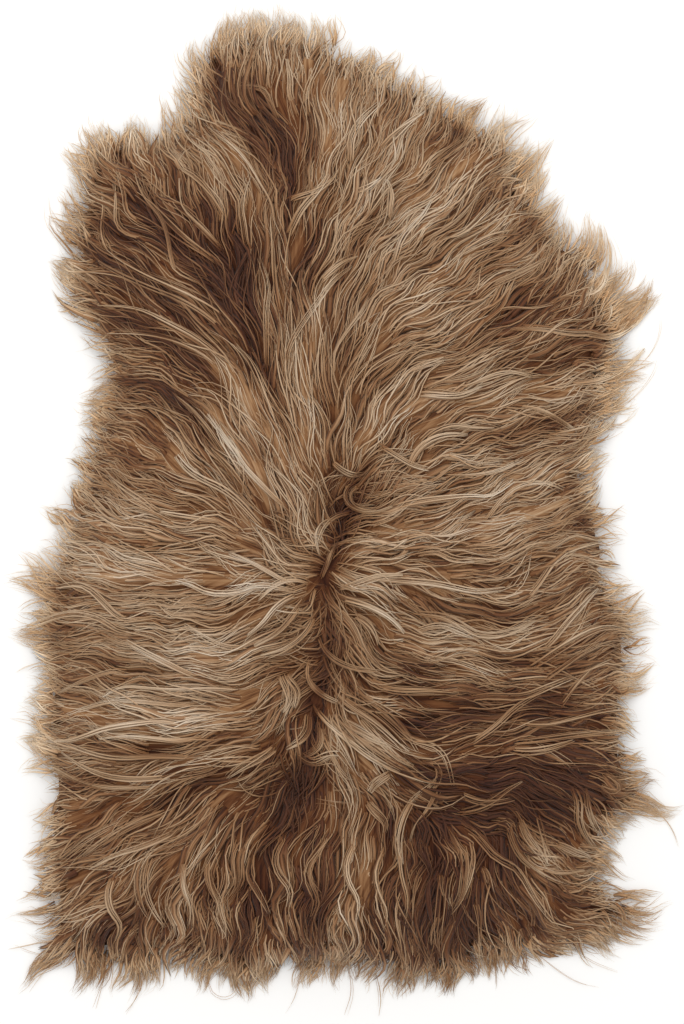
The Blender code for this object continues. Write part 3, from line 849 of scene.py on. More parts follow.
def plannedStrands(paths, kit, count):
    n = len(paths["length"])
    lock = np.repeat(np.arange(n), count)
    m = len(lock)
    # gathered locks carry fewer light strands, and these stand out more
    apart = np.clip(1 - paths["gather"][lock], 0, 0.5)
    light = rng.random(m) < kit["lightShare"] * (1 + 0.5 * np.clip(paths["shade"][lock], -1, 1)) * (1 - apart)
    light = light | (rng.random(m) < 0.25 * np.clip(paths["band"][lock], 0, 1) * kit["lightShare"])
    near, far = strandForm["strayBy"]
    stray = np.where(rng.random(m) < strandForm["astray"], rng.normal(0, far, m), rng.normal(0, near, m))
    return {
        "lock": lock,
        "length": (paths["length"] - kit["shortBy"] * paths["cut"])[lock]
        * np.where(
            light, rng.uniform(*strandForm["lightLength"], m), rng.uniform(*strandForm["plainLength"], m)
        ),
        "rise": np.where(light, kit["rise"][1], kit["rise"][0]),
        "wave": paths["wave"][lock] * rng.uniform(0.85, 1.15, m),
        "gather": paths["gather"][lock],
        "period": paths["period"][lock],
        "phase": paths["shift"][lock] + rng.normal(0, 0.22, m),
        "angle": rng.uniform(0, 2 * np.pi, m),
        "twist": rng.normal(0, 1.4, m),
        "radius": np.sqrt(rng.uniform(0.02, 1, m)),
        "stray": stray,
        "lift": paths["lift"][lock]
        * np.where(light, kit["height"][1], kit["height"][0])
        * rng.uniform(0.985, 1.015, m),
        "width": (kit["width"][0] + (kit["width"][1] - kit["width"][0]) * rng.random(m) ** 1.6)
        * np.where(light, kit["lightWidth"], 1.0),
        "tone": np.clip(
            strandForm["tone"]
            + paths["light"][lock] * np.where(light, kit["lightKeeps"], 1.0)
            + np.where(light, kit["lightStep"] * (1 + 0.8 * apart), -0.03)
            + rng.normal(0, kit["unlike"], m),
            0,
            1,
        ),
    }


def bundled(paths, strands, kit, sizes=(6, 9, 13), chosen=True):
    # the strands go by how many segments their length and wave need
    need = strands["length"] / strands["period"] * strandForm["segmentsPerWave"]
    need = need + strands["length"] / strandForm["segmentLength"]
    need = need * (1 + 0.6 * np.clip(1 - strands["gather"], 0, 1))
    bundles = []
    limits = [0] + [(a + b) / 2 + 0.5 for a, b in zip(sizes, sizes[1:])] + [1e9]
    for size, low, high in zip(sizes, limits, limits[1:]):
        pick = chosen & (need >= low) & (need < high) & (strands["length"] > strandForm["shortest"])
        part = {key: value[pick] for key, value in strands.items()}
        core, depth, t, paintedLight = strandCore(paths, part, size, kit)
        bundles.append(strandTube(core, depth, t, paintedLight, part, kit))
    return bundles


lightField = driftField(0.07)
strandMaterial = longWool("unspunLongWool", woolLook)
bodyLook = dict(  # a lock's body shows its fibres as fine streaks, with painted shade along its sides
    woolLook,
    streaks=[(0.36, "#A4866C"), (0.5, "#D8C8B8"), (0.62, "#FFFFFF")],
    streakWidth=0.0018,
    streakLength=0.080,
    flanks=[(0.0, "#FFFFFF"), (0.6, "#F8F4F0"), (1.0, "#E4D6C8")],
)
bodyMaterial = longWool("softLockWool", bodyLook)
woolPieces = []


def thinPlaces(paths, cell=0.018, least=0.55, band=(0.02, 1.0), back=0.030):
    # where too few locks lie, so that the felt below would show
    k = np.arange(paths["x"].shape[1])[None, :]
    lying = k * paths["stride"][:, None] < paths["length"][:, None]
    column = ((paths["x"][lying] - axisX[0]) / ground["step"]).astype(int).clip(0, len(axisX) - 1)
    row = ((paths["y"][lying] - axisY[0]) / ground["step"]).astype(int).clip(0, len(axisY) - 1)
    count = np.zeros(gridX.shape)
    np.add.at(count, (row, column), 1.0)
    cover = blurred(count, min(cell / 2, 0.008))
    cover /= np.median(cover[edge > 0.03])
    x, y = np.meshgrid(np.arange(axisX[0], axisX[-1], cell), np.arange(axisY[0], axisY[-1], cell))
    x, y = x.ravel(), y.ravel()
    thin = (sampled(cover, x, y) < least) & (sampled(edge, x, y) > band[0]) & (sampled(edge, x, y) < band[1])
    x, y = x[thin], y[thin]
    heading = np.arctan2(sampled(flowY, x, y), sampled(flowX, x, y))
    return np.stack([x - np.cos(heading) * back, y - np.sin(heading) * back], 1)


def joined(first, second):
    return {key: np.concatenate([first[key], second[key]]) for key in first}


spots = rootsOn(locks["pitch"], locks["leastEdge"])
paths = plannedLocks(spots, locks)
for _ in range(2):
    fillers = thinPlaces(paths)
    print(f"{len(fillers)} locks added where the wool was thin")
    spots, paths = np.concatenate([spots, fillers]), joined(paths, plannedLocks(fillers, locks))
ribbons = plannedStrands(paths, lockBody, locks["ribbons"])
rootY = spots[ribbons["lock"], 1]
for name, low, high in (("frontLocks", 0.13, 1), ("middleLocks", -0.16, 0.13), ("hindLocks", -1, -0.16)):
    bundles = bundled(paths, ribbons, lockBody, (6, 8, 10), (rootY > low) & (rootY <= high))
    woolPieces.append(woolPiece(name, bundles, bodyMaterial))

strands = plannedStrands(paths, fleece, locks["strands"])
rootX, rootY = spots[strands["lock"], 0], spots[strands["lock"], 1]
middle, sides = -0.005, (rootY <= 0.215) & (rootY > -0.19)
woolAreas = {
    "neckWool": rootY > 0.215,
    "leftSideWool": sides & (rootX <= middle),
    "rightSideWool": sides & (rootX > middle),
    "hindWool": rootY <= -0.19,
}
for name, chosen in woolAreas.items():
    woolPieces.append(woolPiece(name, bundled(paths, strands, fleece, chosen=chosen), strandMaterial))

tufts = {  # along the parting
    "count": 60,
    "scatter": 0.012,  # how far beside the parting they grow
    "length": (0.050, 0.085),
    "turn": 40.0,  # degrees either way from the lie
    "curl": 500.0,  # degrees a metre either way
}
# the curls that stand out, each drawn through its places: (from left, from neck)
curls = {
    "round curl": [
        [(369, 474), (352, 472), (341, 480), (341, 494), (352, 502), (369, 505), (388, 498)],
        [(368, 478), (354, 477), (346, 484), (347, 494), (357, 500), (372, 500)],
    ],
    "whorl": [
        [(322, 448), (330, 456), (340, 464), (352, 468), (362, 464)],
        [(362, 432), (374, 438), (390, 447), (408, 458), (424, 462)],
        [(392, 478), (404, 462), (410, 446), (422, 434), (440, 427), (462, 428)],
    ],
    "hooks": [
        [(344, 520), (334, 512), (322, 512), (314, 522), (314, 534), (318, 546)],
        [(362, 508), (346, 504), (330, 508), (318, 520), (314, 536)],
        [(314, 578), (319, 566), (323, 554), (327, 542), (332, 534)],
    ],
    "knot": [
        [(314, 578), (300, 578), (280, 570), (255, 556), (228, 544)],
        [(312, 582), (296, 582), (278, 578), (258, 574), (236, 582)],
        [(318, 582), (306, 572), (290, 568), (272, 574), (256, 590)],
        [(318, 584), (332, 581), (352, 574), (374, 566), (398, 566)],
        [(320, 588), (340, 588), (362, 594), (384, 606), (400, 622)],
    ],
    "arcs": [
        [(312, 583), (292, 584), (274, 596), (262, 614), (246, 626)],
        [(312, 586), (300, 592), (290, 606), (276, 622), (252, 634)],
        [(314, 588), (314, 602), (304, 622), (284, 636), (258, 642)],
        [(320, 590), (338, 600), (352, 616), (360, 638), (376, 656)],
        [(312, 612), (316, 632), (328, 648), (350, 658), (376, 660)],
    ],
    "low curl": [[(318, 640), (306, 650), (304, 668), (316, 682), (334, 690)]],
}
# the locks that show most in the tail and on the hind legs
tailLocks = {
    "left hind leg": [
        [(160, 822), (152, 840), (145, 860), (146, 882), (155, 901), (164, 914)],
        [(150, 828), (140, 848), (136, 868), (139, 888), (147, 904)],
        [(124, 847), (108, 873), (109, 895), (122, 912), (114, 930)],
        [(150, 800), (126, 806), (101, 818), (79, 832), (57, 852)],
        [(196, 806), (170, 820), (142, 832), (112, 840), (88, 856)],
        [(190, 790), (160, 800), (130, 812), (100, 830), (80, 846)],
    ],
    "left of the middle": [
        [(194, 830), (182, 850), (180, 872), (190, 892), (187, 914)],
        [(216, 828), (206, 850), (210, 872), (222, 892), (218, 912)],
        [(240, 824), (249, 842), (244, 860), (256, 878), (266, 900)],
    ],
    "middle": [
        [(272, 804), (285, 820), (272, 838), (275, 856), (291, 873), (287, 892)],
        [(324, 798), (329, 816), (316, 834), (304, 852), (307, 870), (316, 884), (309, 902)],
        [(342, 804), (353, 824), (341, 846), (344, 866), (356, 884), (352, 906)],
        [(370, 812), (383, 832), (371, 855), (375, 878), (384, 896), (379, 916)],
        [(403, 806), (398, 834), (400, 860), (407, 884), (402, 904)],
    ],
    "stream": [
        [(418, 768), (407, 790), (398, 806), (393, 828), (397, 850)],
        [(438, 762), (432, 782), (424, 800), (410, 814), (405, 834)],
    ],
    "hollow": [
        [(435, 798), (458, 800), (476, 795), (488, 788), (502, 776), (516, 769)],
        [(446, 774), (458, 784), (476, 790), (496, 788), (508, 786)],
        [(430, 802), (455, 812), (472, 822), (480, 834), (492, 846),
         (508, 852), (517, 866), (524, 880), (532, 893), (548, 914)],
    ],
    "light lock": [
        [(452, 816), (458, 834), (460, 852), (458, 868), (457, 882), (446, 900)],
        [(460, 816), (467, 838), (464, 854), (459, 870), (455, 884)],
        [(470, 850), (478, 854), (482, 864), (489, 878)],
    ],
    "right hind leg": [
        [(502, 790), (502, 812), (506, 828), (514, 844), (528, 856), (548, 868), (564, 873)],
        [(510, 792), (516, 812), (524, 828), (535, 840), (542, 854)],
        [(528, 790), (534, 812), (540, 832), (544, 850)],
        [(552, 760), (567, 775), (574, 792), (572, 808), (578, 824), (588, 836)],
        [(572, 764), (579, 780), (581, 796), (588, 814), (598, 828)],
        [(540, 828), (557, 834), (570, 842), (586, 847)], [(524, 849), (541, 858), (558, 862), (580, 860)],
        [(590, 756), (606, 768), (616, 777), (608, 782), (594, 776)],
    ],
    "tail edge": [
        [(436, 850), (436, 872), (444, 893)], [(436, 894), (429, 912), (427, 932)],
        [(462, 870), (472, 892), (474, 912), (473, 932), (476, 954)],
        [(488, 898), (500, 908), (504, 922), (505, 936), (514, 950)],
    ],
}
# and those over the neck, the shoulders and the flanks
sideLocks = {
    "left shoulder": [
        [(196, 292), (176, 270), (171, 254), (168, 232), (161, 212), (146, 196), (138, 182), (134, 168)],
        [(236, 277), (211, 254), (186, 236), (166, 216), (151, 200), (136, 188)],
        [(241, 254), (221, 247), (201, 224), (182, 206), (179, 192), (179, 174)],
        [(228, 242), (222, 214), (208, 188), (192, 170), (176, 162), (176, 150), (188, 142)],
    ],
    "neck": [
        [(236, 232), (220, 212), (222, 192), (220, 172), (202, 152), (198, 132)],
        [(258, 260), (244, 242), (242, 222), (238, 204), (242, 184), (248, 172)],
        [(281, 250), (268, 232), (270, 214), (266, 197), (254, 178), (246, 162), (232, 144), (214, 126)],
        [(282, 132), (276, 116), (268, 98), (262, 84), (236, 81)],
        [(296, 112), (286, 92), (288, 77), (284, 54)],
        [(276, 252), (288, 228), (298, 206), (316, 188), (326, 172)],
        [(272, 206), (292, 194), (314, 189), (330, 178), (336, 168)], [(346, 192), (362, 186), (378, 174)],
    ],
    "left shoulder rim": [
        [(156, 222), (136, 218), (124, 206), (124, 190), (118, 172), (114, 156)],
        [(161, 244), (146, 234), (126, 230), (114, 218), (116, 196), (114, 174)],
        [(121, 260), (104, 244), (98, 224), (102, 200), (98, 178)],
    ],
    "left fall": [
        [(246, 342), (226, 310), (206, 296), (176, 282), (146, 270), (116, 254), (104, 242)],
        [(246, 352), (221, 322), (186, 297), (146, 282), (116, 268), (96, 256)],
        [(246, 387), (226, 357), (196, 332), (166, 317), (136, 302), (96, 300)],
        [(236, 387), (211, 354), (181, 337), (146, 327), (106, 324)],
    ],
    "front middle": [
        [(271, 392), (264, 362), (264, 332), (264, 302), (268, 282), (258, 254)],
        [(296, 392), (282, 367), (284, 342), (298, 318), (314, 297), (328, 277), (348, 262)],
        [(326, 392), (332, 368), (330, 348), (342, 328), (358, 308), (366, 292)],
        [(310, 286), (326, 268), (342, 256), (354, 252)],
    ],
    "right of the neck": [
        [(341, 182), (348, 157), (346, 137), (356, 117), (376, 97)],
        [(366, 162), (381, 142), (401, 120), (421, 104)], [(406, 182), (426, 162), (451, 142), (471, 127)],
        [(386, 227), (384, 207), (388, 192), (382, 177)],
        [(381, 282), (391, 254), (396, 232), (416, 214), (426, 197)],
    ],
    "right shoulder": [
        [(396, 252), (416, 237), (446, 220), (466, 198), (478, 182)],
        [(436, 262), (461, 247), (486, 232), (511, 228), (528, 218)],
        [(466, 292), (486, 282), (506, 272), (531, 260), (548, 248)],
    ],
    "right fore": [
        [(476, 312), (501, 300), (526, 302), (546, 296)],
        [(536, 292), (561, 290), (586, 290), (602, 277), (604, 254)],
        [(456, 337), (486, 327), (516, 322), (544, 324), (566, 328),
         (586, 326), (601, 332), (621, 324), (641, 307), (646, 290)],
    ],
    "right middle": [
        [(396, 372), (416, 360), (438, 352)], [(436, 387), (466, 377), (486, 367), (506, 364), (526, 370)],
        [(396, 392), (416, 388), (436, 390), (456, 390), (476, 380)],
    ],
    "right waist": [
        [(496, 404), (516, 400), (536, 404), (556, 414), (571, 424)],
        [(536, 372), (566, 377), (596, 372), (621, 360), (641, 340)],
        [(516, 432), (546, 428), (576, 430), (600, 422), (614, 408)],
    ],
    "right of the whorl": [
        [(416, 454), (432, 450), (446, 447), (460, 452), (476, 456), (496, 454)],
        [(408, 450), (416, 436), (430, 424), (448, 418), (468, 422), (488, 422)],
    ],
    "left of the whorl": [
        [(304, 530), (292, 506), (274, 492), (256, 474), (242, 460), (232, 442), (218, 424), (206, 407)],
        [(284, 542), (258, 517), (236, 492), (218, 479), (201, 472), (186, 462), (176, 448)],
    ],
    "left waist": [
        [(236, 462), (224, 447), (208, 422), (191, 402), (176, 390)],
        [(221, 467), (196, 442), (184, 427), (176, 412), (161, 402), (139, 397)],
    ],
    "left middle": [
        [(284, 569), (258, 556), (236, 548), (216, 544), (204, 540), (196, 532)],
        [(306, 582), (281, 576), (258, 574), (240, 582), (221, 584), (204, 582), (192, 574), (176, 570)],
        [(216, 593), (200, 588), (180, 586), (160, 588), (136, 585), (106, 587)],
        [(236, 517), (211, 512), (186, 508), (160, 503)],
    ],
    "left flank": [
        [(176, 512), (156, 504), (144, 492), (126, 482), (106, 468)],
        [(146, 522), (126, 514), (108, 508), (94, 494), (78, 481)],
        [(126, 567), (106, 562), (94, 545), (80, 536), (60, 533)],
        [(156, 607), (136, 610), (120, 608), (104, 592), (91, 580), (76, 574), (54, 579)],
        [(166, 617), (146, 621), (120, 622), (104, 610), (86, 604), (66, 604), (46, 610), (24, 619)],
        [(216, 672), (191, 664), (166, 652), (146, 642), (126, 631)],
        [(266, 632), (241, 636), (221, 634), (201, 622), (184, 613)],
    ],
    "left belly": [
        [(276, 674), (251, 680), (231, 676), (206, 674), (176, 676), (146, 674), (120, 672), (102, 685)],
        [(148, 673), (130, 665), (116, 658), (96, 664), (76, 672), (56, 683)],
        [(236, 692), (211, 688), (181, 692), (146, 688), (116, 688), (91, 694), (64, 705)],
        [(226, 718), (196, 714), (166, 706), (136, 710), (106, 716), (86, 724), (68, 732), (44, 732)],
        [(236, 716), (211, 720), (181, 727), (156, 724), (126, 722), (99, 727)],
        [(226, 727), (214, 740), (191, 744), (156, 742), (116, 746), (86, 740), (64, 732)],
        [(196, 757), (156, 764), (116, 766), (86, 758), (60, 742)],
        [(186, 770), (146, 776), (106, 778), (76, 772), (52, 758), (38, 752)],
    ],
    "right flank": [
        [(328, 582), (348, 574), (366, 567), (396, 570), (426, 572), (451, 577), (471, 582), (498, 578)],
        [(356, 517), (381, 502), (406, 494), (436, 490), (466, 487), (486, 490), (508, 474)],
        [(466, 537), (480, 512), (496, 490), (516, 476), (541, 474), (558, 482)],
        [(396, 552), (411, 544), (431, 540), (446, 550), (468, 550)],
        [(376, 592), (396, 598), (416, 604), (436, 604), (456, 614), (471, 624), (496, 624), (528, 609)],
        [(396, 628), (416, 618), (436, 614), (451, 620), (468, 627)],
        [(381, 624), (406, 637), (426, 646), (446, 647), (466, 654), (492, 664)],
        [(496, 602), (516, 592), (531, 577), (544, 557), (556, 544), (581, 537), (598, 534)],
        [(516, 652), (541, 637), (561, 612), (576, 597), (593, 579)],
        [(496, 672), (526, 657), (556, 637), (586, 620), (606, 616), (624, 621)],
        [(516, 682), (546, 664), (576, 644), (601, 632), (617, 641)],
    ],
    "right belly": [
        [(542, 710), (556, 692), (571, 672), (586, 657), (608, 649)],
        [(436, 704), (448, 693), (461, 687), (486, 684), (516, 687), (541, 676), (568, 666)],
        [(446, 747), (466, 730), (491, 712), (508, 694), (538, 679)],
        [(476, 712), (506, 708), (536, 713), (566, 707), (596, 700), (623, 698)],
        [(466, 732), (496, 730), (531, 727), (556, 724), (586, 722), (624, 721)],
        [(486, 734), (516, 740), (541, 737), (568, 729)],
    ],
    "right of the knot": [[(341, 602), (356, 607), (368, 617), (374, 634)]],
    "belly": [
        [(336, 652), (356, 660), (376, 677), (396, 680), (426, 680), (453, 682)],
        [(326, 692), (341, 712), (361, 727), (381, 742), (398, 753)],
        [(341, 677), (366, 692), (391, 712), (408, 728), (426, 730), (438, 738), (444, 752), (448, 772)],
        [(336, 662), (356, 682), (381, 697), (401, 717), (413, 739)],
    ],
    "right middle low": [[(416, 462), (446, 467), (476, 466), (496, 462), (518, 451)]],
    "right flank rim": [[(496, 532), (526, 520), (546, 514), (573, 511)]],
}
# and the tangle on the belly, where the wool of the back meets that of the tail
bellyLocks = {
    "fall": [
        [(296, 673), (307, 689), (319, 706), (330, 716), (345, 728), (366, 745), (386, 756)],
        [(327, 695), (335, 705), (345, 712), (357, 718), (373, 728), (387, 733)],
        [(342, 689), (353, 703), (365, 716), (377, 728), (395, 746), (409, 752)],
        [(318, 674), (334, 684), (352, 696), (372, 708), (392, 726), (404, 738)],
        [(312, 682), (326, 700), (340, 718), (356, 734), (376, 748), (396, 758)],
    ],
    "tangle": [
        [(289, 729), (295, 739), (302, 746), (310, 750), (319, 745), (327, 741), (335, 741)],
        [(393, 756), (382, 763), (370, 771), (366, 779)],
        [(360, 779), (365, 791), (373, 799), (382, 808), (380, 818)],
        [(413, 746), (426, 748), (433, 756), (432, 768), (422, 776), (407, 789), (402, 799)],
    ],
    "left of the tangle": [
        [(276, 652), (279, 666), (285, 678), (286, 689), (280, 700)],
        [(287, 653), (283, 661), (287, 669), (293, 675), (296, 683), (292, 696)],
        [(285, 722), (273, 735), (262, 743), (245, 751), (233, 758), (225, 765)],
    ],
    "whirl": [
        [(310, 690), (304, 702), (306, 716), (298, 728), (284, 736)],
        [(322, 704), (316, 716), (318, 728), (310, 738), (300, 742)],
    ],
}
# single hairs that stand out over the rim
threads = {
    "left hind leg": [[(102, 960), (95, 982), (91, 1000)], [(142, 958), (134, 988), (122, 1006)]],
    "tail": [
        [(203, 968), (208, 984), (222, 990), (234, 982), (234, 966)], [(298, 950), (294, 984), (281, 1008)],
        [(316, 944), (324, 978)], [(346, 960), (350, 984), (342, 1006)],
        [(372, 964), (378, 988), (376, 1008)], [(472, 938), (476, 960), (470, 978)],
        [(488, 944), (493, 970), (492, 988)],
    ],
    "right hind leg": [
        [(524, 938), (554, 962), (576, 975), (596, 978)], [(566, 936), (586, 952), (614, 963)],
        [(606, 910), (632, 910), (656, 906)], [(640, 792), (662, 808), (672, 824), (676, 840)],
    ],
    "right fore": [
        [(618, 326), (642, 304), (650, 284)], [(620, 368), (644, 350), (656, 328), (658, 308)],
        [(604, 410), (632, 388), (649, 366), (653, 350)], [(516, 176), (530, 152), (535, 134)],
    ],
    "left hind corner": [[(66, 928), (36, 934), (14, 938), (3, 940)], [(58, 948), (32, 945), (10, 936)]],
    "left flank": [[(60, 566), (30, 558), (14, 556)], [(54, 648), (26, 656), (12, 664)]],
    "belly tangle": [
        [(345, 756), (353, 758), (362, 763), (367, 769)], [(322, 776), (336, 778), (349, 776)],
        [(337, 769), (353, 775), (360, 780)], [(302, 782), (316, 785), (337, 788), (353, 789)],
        [(302, 791), (316, 792), (329, 795), (333, 802), (333, 811)],
        [(316, 702), (307, 711), (296, 716), (282, 716), (276, 715)],
        [(296, 693), (285, 703), (279, 711), (266, 718)], [(256, 763), (247, 771), (245, 782), (242, 789)],
        [(285, 773), (279, 782), (273, 793), (269, 805)], [(436, 771), (435, 785), (429, 798), (420, 809)],
        [(296, 749), (285, 753), (267, 755), (248, 760)], [(370, 775), (380, 785), (390, 798), (393, 811)],
    ],
}
# how light a drawn lock is, how broad, how high over the wool, and how many ribbons
# and strands it has
drawnKits = (
    {"areas": curls, "light": 0.12, "spread": 0.0018, "lift": 1.05, "ribbons": 2, "strands": 8},
    {"areas": tailLocks, "light": 0.10, "spread": 0.0030, "lift": 1.04, "ribbons": 2, "strands": 8},
    {"areas": sideLocks, "light": 0.09, "spread": 0.0026, "lift": 1.03, "ribbons": 1, "strands": 7},
    {"areas": bellyLocks, "light": 0.09, "spread": 0.0034, "lift": 1.02, "ribbons": 1, "strands": 10},
    {"areas": threads, "light": 0.0, "spread": 0.0008, "lift": 1.0, "ribbons": 0, "strands": 2},
)
drawnForm = {"rootSpread": 0.0010, "tipSpread": 0.0010, "flat": 0.5, "crownHighlight": 0.09}
drawnLines = {
    "waveShare": 0.15,  # of the wave of its place, as a line has its lock's own bends
    "stretch": 1.15,  # strands end short of their lock's length, so it is drawn longer
    "lightShare": 0.8,
    "ribbonWidth": (0.002, 0.0034),
    "threadWidth": (0.0003, 0.0007),
}
lines = np.array([toPlace(*p) for p in parting])
where = rng.uniform(0, len(lines) - 1.001, tufts["count"])
k, share = where.astype(int), (where % 1)[:, None]
tuftSpots = lines[k] * (1 - share) + lines[k + 1] * share
tuftSpots = tuftSpots + rng.normal(0, tufts["scatter"], tuftSpots.shape)
tuftSize = rng.uniform(*tufts["length"], tufts["count"])
tuftTurn = np.radians(rng.uniform(-1, 1, tufts["count"]) * tufts["turn"])
tuftCurl = np.radians(rng.uniform(-1, 1, tufts["count"]) * tufts["curl"])
crown = plannedLocks(tuftSpots, locks, given={"turn": tuftTurn, "curl": tuftCurl, "length": tuftSize})


def drawnPaths(lines, steps=32):
    # locks along drawn lines, rounded off and evenly stepped
    rows = []
    for line in lines:
        line = np.array([toPlace(*p) for p in line])
        for _ in range(3):
            near, far = line[:-1] * 0.75 + line[1:] * 0.25, line[:-1] * 0.25 + line[1:] * 0.75
            line = np.concatenate([line[:1], np.stack([near, far], 1).reshape(-1, 2), line[-1:]])
        gone = np.concatenate([[0], np.cumsum(np.hypot(*np.diff(line, axis=0).T))])
        s = np.linspace(0, gone[-1], steps + 1)
        x, y = np.interp(s, gone, line[:, 0]), np.interp(s, gone, line[:, 1])
        rows.append((x, y, np.unwrap(np.arctan2(np.gradient(y), np.gradient(x))), gone[-1]))
    x, y, heading, length = (np.array(column) for column in zip(*rows))
    return {
        "x": x,
        "y": y,
        "heading": heading,
        "phase": np.zeros(x.shape),
        "stride": length / steps,
        "length": length * drawnLines["stretch"],
        "cut": np.full(len(x), False),
    }


crownRibbons = plannedStrands(crown, dict(lockBody, width=(0.002, 0.004), bodySpread=0.004), 2)
crownStrands = plannedStrands(crown, fleece, 5)
ribbonBundles = bundled(crown, crownRibbons, lockBody, (8, 10))
strandBundles = bundled(crown, crownStrands, fleece, (8, 11))
for look in drawnKits:
    drawn = lockTraits(drawnPaths(line for area in look["areas"].values() for line in area), locks)
    drawn["gather"][:] = 1.0
    drawn["wave"] *= drawnLines["waveShare"]
    drawn["light"] = np.maximum(drawn["light"], 0.0) + look["light"]
    drawn["lift"][:] = look["lift"]
    tight = dict(drawnForm, bodySpread=look["spread"])
    if look["ribbons"]:
        body = plannedStrands(drawn, dict(lockBody, width=drawnLines["ribbonWidth"]), look["ribbons"])
        ribbonBundles += bundled(drawn, body, dict(lockBody, **tight), (10, 14))
    width = drawnLines["threadWidth"] if look["areas"] is threads else fleece["width"]
    hairKit = dict(fleece, lightShare=drawnLines["lightShare"], width=width)
    hairs = plannedStrands(drawn, hairKit, look["strands"])
    strandBundles += bundled(drawn, hairs, dict(fleece, **tight), (10, 15))
woolPieces.append(woolPiece("drawnLocks", ribbonBundles, bodyMaterial))
woolPieces.append(woolPiece("drawnWool", strandBundles, strandMaterial))

# the hair that hangs over the rim
rimLocks = {
    "pitch": 0.0125,
    "leastEdge": 0.006,
    "mostEdge": 0.040,
    "ribbons": (3, 4),  # in a usual lock, and in a long wisp
    "strands": (9, 14),
    "lengthScale": 0.6,
    "turn": 9.0,
    "curl": 180.0,
    "pastEdge": (0.0035, 0.012, -0.012, 0.028),
    "shade": 0.0,
    "lockTone": 0.05,
}
rimHair = dict(
    fleece,
    width=(0.0003, 0.0008),
    profile=[(0, 1.0), (0.5, 1.0), (0.8, 0.6), (1, 0.2)],
    lightShare=0.4,
    lightStep=0.22,
    lightKeeps=1.0,
    unlike=0.05,
    lightWidth=1.0,
    rootSpread=0.0085,
    tipSpread=0.0040,
    flat=0.4,
    rise=(5.0, 8.0),
    height=(0.9, 0.96),
    crestHighlight=0.03,
    bandTone=0.05,
    crownHighlight=0.03,
    thick=0.4,
    rimBand=0.032,
)
rimRibbon = dict(
    lockBody,
    profile=[(0, 0.8), (0.35, 1.0), (0.65, 0.65), (0.85, 0.3), (1, 0.05)],
    shortBy=0.004,
    width=(0.0014, 0.0032),
    rimBand=0.032,
    tipSpread=0.002,
    bodySpread=0.004,
)
# the long wisps that reach furthest: (from left, from neck, mm past the edge)
wisps = {
    "neck left tip": (223, 43, 22), "neck tip": (250, 33, 20), "neck right tip": (290, 39, 22),
    "right shoulder top": (466, 120, 34), "right shoulder": (498, 155, 36),
    "right shoulder low": (528, 215, 28), "right shoulder spike": (522, 178, 34),
    "right fore edge": (600, 290, 34), "right fore low": (606, 340, 48), "right fore top": (590, 250, 36),
    "right fore mid": (612, 318, 38), "right waist": (600, 372, 46), "right waist low": (594, 404, 36),
    "right flank": (600, 605, 26), "right belly": (610, 675, 26), "right hind point": (626, 793, 40),
    "right hind corner": (612, 905, 42), "right hind corner low": (574, 931, 28),
    "tail right": (488, 951, 26), "tail": (448, 960, 28), "tail middle": (368, 971, 26),
    "tail left": (272, 963, 26), "tail far left": (162, 948, 30), "left hind corner low": (100, 956, 40),
    "left hind corner": (66, 948, 50), "left belly low": (49, 745, 24), "left hind curl": (92, 950, 38),
    "left hind inner": (136, 950, 40), "tail far left curl": (212, 958, 26),
    "tail left curl": (246, 960, 24), "tail inner": (300, 966, 30), "tail middle left": (334, 968, 20),
    "tail middle right": (398, 968, 26), "tail right curl": (520, 948, 28),
    "tail right inner": (470, 956, 22), "left belly": (54, 635, 28), "left flank": (62, 581, 32),
    "left waist": (112, 405, 24), "left fore edge": (88, 290, 26), "left shoulder": (88, 175, 28),
    "left shoulder top": (138, 139, 24),
}
wispForm = {
    "locks": 3,  # for each wisp
    "inset": 0.016,  # how far inside the edge they grow
    "scatter": 0.005,
    "reach": (0.75, 1.0),  # share of the wisp's length past the edge
    "turn": 6.0,  # degrees
    "root": 0.075,  # what a lock's length has more than that
}
rimSpots = rootsOn(rimLocks["pitch"], rimLocks["leastEdge"], rimLocks["mostEdge"])
rimPaths = plannedLocks(rimSpots, rimLocks, rimLocks["lengthScale"])
fillers = thinPlaces(joined(paths, rimPaths), cell=0.009, least=0.8, band=(0.004, 0.022), back=0.022)
print(f"{len(fillers)} locks added where the rim was thin")
rimPaths = joined(rimPaths, plannedLocks(fillers, rimLocks, rimLocks["lengthScale"]))
wispEnds = np.array([toPlace(*row[:2]) for row in wisps.values()])
outX, outY = -sampled(edgeSlopeX, *wispEnds.T), -sampled(edgeSlopeY, *wispEnds.T)
wispSpots = wispEnds - wispForm["inset"] * np.stack([outX, outY], 1)
wispSpots = np.repeat(wispSpots, wispForm["locks"], 0)
wispSpots = wispSpots + rng.normal(0, wispForm["scatter"], wispSpots.shape)
past = np.repeat([row[2] for row in wisps.values()], wispForm["locks"]) / 1000
past = past * rng.uniform(*wispForm["reach"], len(wispSpots))
wispTurn = np.radians(rng.normal(0, wispForm["turn"], len(past)))
wispPlan = {"past": past, "length": past + wispForm["root"], "turn": wispTurn}
wispPaths = plannedLocks(wispSpots, rimLocks, given=wispPlan)
for name, kit, many, sizes in (
    ("rimHair", rimHair, rimLocks["strands"], (5, 8)),
    ("rimLocks", rimRibbon, rimLocks["ribbons"], (6, 9)),
):
    bundles = []
    for plan, count in zip((rimPaths, wispPaths), many):
        bundles += bundled(plan, plannedStrands(plan, kit, count), kit, sizes)
    woolPieces.append(woolPiece(name, bundles, strandMaterial))

